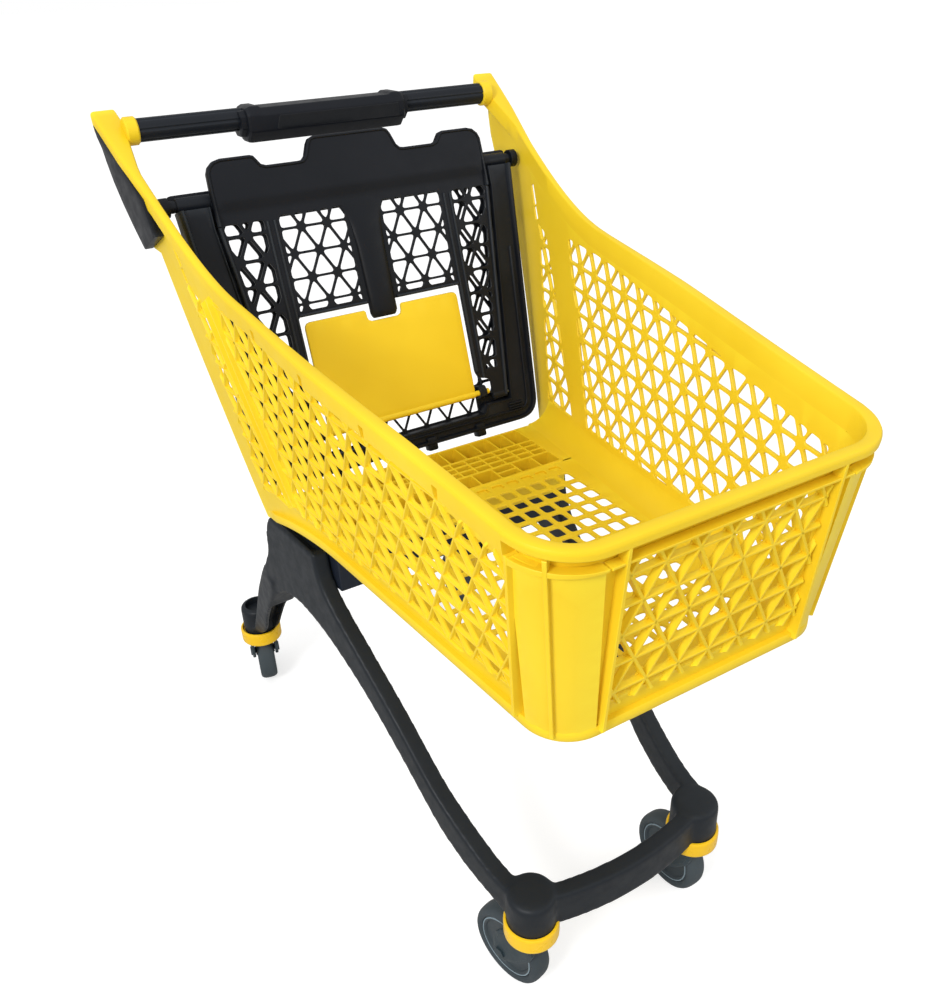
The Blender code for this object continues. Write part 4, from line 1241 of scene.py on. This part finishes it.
def make_frame():
    """Both side frames with their legs, the front bar and the sockets, moulded as one with soft edges."""
    bm = bmesh.new()
    outline = [tuple(p) for p in curved(FRAME_TOP) + curved(FRAME_REAR) + curved(FRAME_UNDER)]
    for side in (-1, 1):
        inner = lambda y, z: -0.024 - 0.019 * share(y, 0.202, 0.25)
        add_sheet(bm, outline, [], frame_place(side), inner, 0.0, spacing=0.02)
        add_leg(bm, side)
        boss(bm, side, FRONT_POST, 0.185, 0.0312, 0.0045)
        boss(bm, side, REAR_POST, 0.183, 0.0285, 0.003)
    rings = []
    for i in range(25):
        x = FRONT_POST[0] * (i / 12 - 1)
        y = -0.318 - 0.02 * (1 - (x / FRONT_POST[0]) ** 2)
        corners = ((y, FRAME_FOOT), (y + 0.024, FRAME_FOOT), (y + 0.024, 0.18), (y, 0.18))
        rings.append([packed(x, *corner) for corner in corners])
    add_loft(bm, rings)
    frame_piece = piece("frame_shell", bm, "cart", FRAME, ("chassis_frame",))
    remesh = frame_piece.modifiers.new("Remesh", "REMESH")
    remesh.mode = "VOXEL"
    remesh.voxel_size = VOXEL
    relax = frame_piece.modifiers.new("Relax", "SMOOTH")
    relax.factor = 0.5
    relax.iterations = RELAX_STEPS
    baked(frame_piece)
    cutter = bmesh.new()
    for side in (-1, 1):
        slot = [(0.114, 0.462), (0.226, 0.4655), (0.226, 0.5), (0.114, 0.5)]
        add_sheet(cutter, slot, [], frame_place(side), -0.0195, -0.005)
        x, y = side * REAR_POST[0], REAR_POST[1]
        add_loft(cutter, [circle(x, y, z, r, 32) for z, r in ((0.171, 0.0195), (0.2, 0.0215))])
        for x, y in (FRONT_POST, REAR_POST):
            add_loft(cutter, [circle(side * x, y, z, PIN_HOLE_R, 16) for z in (0.12, 0.1668)])
    cut_from(frame_piece, cutter)
    frame_piece.data.shade_smooth()
    frame_piece.data.set_sharp_from_angle(angle=radians(50))


# ---------------------------------------------------------------- casters

TYRE_SIDE = [
    (0.0433, 0.0128), (0.045, 0.0142), (0.0475, 0.015), (0.0502, 0.0146), (0.0524, 0.013), (0.054, 0.0104)
]
TYRE_SIDE += [(0.0549, 0.0074), (0.0553, 0.0035)]
HUB_SIDE = [
    (0.0062, 0.0172), (0.009, 0.0172), (0.0102, 0.0164), (0.0108, 0.012), (0.0124, 0.0096), (0.015, 0.0088)
]
HUB_SIDE += [
    (0.034, 0.0088), (0.0366, 0.0094), (0.038, 0.0118), (0.0396, 0.0126), (0.0415, 0.0126), (0.0421, 0.0118)
]
HUB_SIDE += [(0.0427, 0.0118), (0.0429, 0.0125)]
RING_SHAPE = [
    (0.0318, 0.1365), (0.0338, 0.136), (0.0348, 0.1346), (0.035, 0.132), (0.035, 0.116), (0.0348, 0.1134)
]
RING_SHAPE += [
    (0.0338, 0.112), (0.0318, 0.1115), (0.0264, 0.1115), (0.0264, 0.1282), (0.0313, 0.1282), (0.0313, 0.136)
]


def turned(name, body, profile, matrix, material, replaces=(), steps=96):
    bm = bmesh.new()
    rings = []
    for i in range(steps):
        angle = 2 * pi * i / steps
        rings.append([matrix @ Vector((r * cos(angle), r * sin(angle), along)) for r, along in profile])
    add_loft(bm, rings, closed=True)
    piece(name, bm, body, material, replaces)


def make_fork(label, swivel):
    """The fork: two broad cheeks that sweep back to the axle, under a plate and the swivel head."""
    bm = bmesh.new()
    cheek = [(-0.0205, 0.1085), (-0.0222, 0.1), (-0.0165, 0.085), (0.002, 0.063), (0.0205, 0.049)]
    cheek += [
        (TRAIL + 0.0128 * cos(radians(a)), WHEEL_R + 0.0128 * sin(radians(a)))
        for a in range(-145, 21, 15)
    ]
    cheek += [(0.0462, 0.074), (0.0405, 0.091), (0.03, 0.1045), (0.0225, 0.1085)]
    for side in (-1, 1):
        place = lambda y, z, out: swivel @ Vector((side * out, y, z))
        add_sheet(bm, rounded(cheek, 0.004), [], place, 0.018, 0.0232, outer_edge=0.0014)
        add_sheet(bm, rounded(grown(cheek, -0.0045), 0.004), [], place, 0.0225, 0.0238, outer_edge=0.0006)
    plate = rectangle(-0.0232, 0.0232, -0.0205, 0.0225, 0.006)
    add_sheet(bm, plate, [], lambda x, y, z: swivel @ Vector((x, y, z)), 0.1062, 0.1112, outer_edge=0.0014)
    around = [(0.0246 * cos(pi * i / 24), 0.0246 * sin(pi * i / 24)) for i in range(48)]
    add_loft(bm, [[swivel @ Vector((x, y, z)) for x, y in around] for z in (0.11, 0.127)])
    piece(f"{label}_fork_look", bm, f"{label}_fork", FORK, (f"{label}_fork",))


def make_caster(label, yaw):
    x, y = FRONT_POST if label.startswith("front") else REAR_POST
    post = Matrix.Translation(packed(-x if label.endswith("left") else x, y, 0))
    swivel = post @ Matrix.Rotation(yaw, 4, "Z")
    wheel = swivel @ Matrix.Translation((0, TRAIL, WHEEL_R)) @ Matrix.Rotation(pi / 2, 4, "Y")
    make_fork(label, swivel)
    turned(f"{label}_ring", "cart", RING_SHAPE, post, RING_YELLOW, (f"{label}_bumper_ring",))
    tread = TYRE_SIDE + [(r, -h) for r, h in reversed(TYRE_SIDE)]
    turned(f"{label}_tread", f"{label}_wheel", tread, wheel, TYRE, (f"{label}_tyre",))
    web = HUB_SIDE + [(r, -h) for r, h in reversed(HUB_SIDE)]
    turned(f"{label}_rim", f"{label}_wheel", web, wheel, HUB, (f"{label}_hub",))
    # Thin light rings on both sides of the hub: a painted highlight along the hub's lip.
    for side, end in ((-1, "inner"), (1, "outer")):
        line = [
            (0.0404, side * 0.0122), (0.0408, side * 0.013), (0.0418, side * 0.013), (0.0423, side * 0.0122)
        ]
        turned(f"{label}_lip_{end}", f"{label}_wheel", line, wheel, HUB_LIP_HIGHLIGHT)


# ---------------------------------------------------------------- nodes that stay as they are

FINISHES = {"cross_beam": BEAM, "stem": ZINC, "axle": FORK, "frame_bolt": ZINC, "seat_pin": ZINC}


def dress(name, node):
    """Puts a finish on a kept node, and rounds its edges."""
    finish = next((made for key, made in FINISHES.items() if key in name), BLACK)
    node.data.materials.clear()
    node.data.materials.append(finish)
    weld = node.modifiers.new("Weld", "WELD")
    weld.merge_threshold = 0.00002
    bevel = node.modifiers.new("Bevel", "BEVEL")
    bevel.width = 0.0015 if name == "cross_beam" else 0.0006
    bevel.segments = 3
    bevel.limit_method = "ANGLE"
    bevel.angle_limit = radians(32)
    bevel.harden_normals = False
    smooth = node.modifiers.new("Normals", "WEIGHTED_NORMAL")
    smooth.keep_sharp = False
    for face in node.data.polygons:
        face.use_smooth = True


for make in (make_walls, make_ribs, make_rim, make_skirt, make_floor, make_rear_box):
    make()
for make in (
    make_gate, make_seat_back, make_flap, make_handle, make_module, make_sockets, make_arm_covers,
    make_frame
):
    make()
for label, yaw in CASTER_YAW.items():
    make_caster(label, yaw)
for name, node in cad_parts.items():
    dress(name, node)


# ---------------------------------------------------------------- camera and light


def make_camera():
    azimuth, elevation, roll = radians(-29.675), radians(29.724), radians(-2.394)
    back = Vector((sin(azimuth) * cos(elevation), -cos(azimuth) * cos(elevation), sin(elevation)))
    right = Vector((cos(azimuth), sin(azimuth), 0))
    up = back.cross(right)
    axis_x = right * cos(roll) + up * sin(roll)
    axis_y = -right * sin(roll) + up * cos(roll)
    matrix = Matrix((axis_x, axis_y, back)).transposed().to_4x4()
    matrix.translation = (-0.5364, -0.9167 - MIDDLE_Y, 1.1493)
    data = bpy.data.cameras.new("camera")
    data.lens = 33.32
    data.sensor_width = 36
    data.clip_start = 0.01
    camera = show("camera", data)
    camera.matrix_world = matrix
    bpy.context.scene.camera = camera


def make_light(name, place, target, size, power):
    data = bpy.data.lights.new(name, "AREA")
    data.energy = power
    data.size = size
    light = show(name, data)
    light.location = place
    light.rotation_euler = (Vector(target) - Vector(place)).to_track_quat("-Z", "Y").to_euler()


def make_room():
    """A room that looks white to the camera and lights the cart most from above and from the front."""
    world = bpy.data.worlds.new("studio")
    world.use_nodes = True
    nodes, links = world.node_tree.nodes, world.node_tree.links
    background = nodes["Background"]
    background.inputs["Color"].default_value = (1.0, 1.0, 1.0, 1)
    place = nodes.new("ShaderNodeTexCoord")
    facing = nodes.new("ShaderNodeVectorMath")
    facing.operation = "DOT_PRODUCT"
    facing.inputs[1].default_value = Vector((-0.25, -0.55, 0.8)).normalized()
    links.new(place.outputs["Generated"], facing.inputs[0])
    strength = nodes.new("ShaderNodeMapRange")
    for socket, value in (("From Min", -1), ("From Max", 1), ("To Min", 0.2), ("To Max", 1.06)):
        strength.inputs[socket].default_value = value
    links.new(facing.outputs["Value"], strength.inputs["Value"])
    path = nodes.new("ShaderNodeLightPath")
    seen = nodes.new("ShaderNodeMix")
    seen.inputs["B"].default_value = 1.0
    links.new(path.outputs["Is Camera Ray"], seen.inputs["Factor"])
    links.new(strength.outputs["Result"], seen.inputs["A"])
    links.new(seen.outputs["Result"], background.inputs["Strength"])
    bpy.context.scene.world = world
    bpy.context.scene.view_settings.view_transform = "Standard"


def make_ground():
    """A pale floor that takes shadows and glows for the camera only."""
    bm = bmesh.new()
    bmesh.ops.create_grid(bm, x_segments=1, y_segments=1, size=60)
    mesh = bpy.data.meshes.new("studio_floor")
    bm.to_mesh(mesh)
    bm.free()
    material = bpy.data.materials.new("studio_floor")
    material.use_nodes = True
    nodes, links = material.node_tree.nodes, material.node_tree.links
    shader = nodes["Principled BSDF"]
    shader.inputs["Base Color"].default_value = (0.55, 0.55, 0.55, 1)
    shader.inputs["Roughness"].default_value = 0.9
    shader.inputs["Specular IOR Level"].default_value = 0.0
    shader.inputs["Emission Color"].default_value = (1, 1, 1, 1)
    path = nodes.new("ShaderNodeLightPath")
    glow = nodes.new("ShaderNodeMath")
    glow.operation = "MULTIPLY"
    glow.inputs[1].default_value = 0.62
    links.new(path.outputs["Is Camera Ray"], glow.inputs[0])
    links.new(glow.outputs["Value"], shader.inputs["Emission Strength"])
    mesh.materials.append(material)
    show("studio_floor", mesh)


make_camera()
make_room()
make_ground()
make_light("key", (-2.3, -1.38, 2.3), (0, 0, 0.62), 0.7, 50)
make_light("fill", (1.9, -1.5, 1.6), (0, 0, 0.6), 1.6, 7)
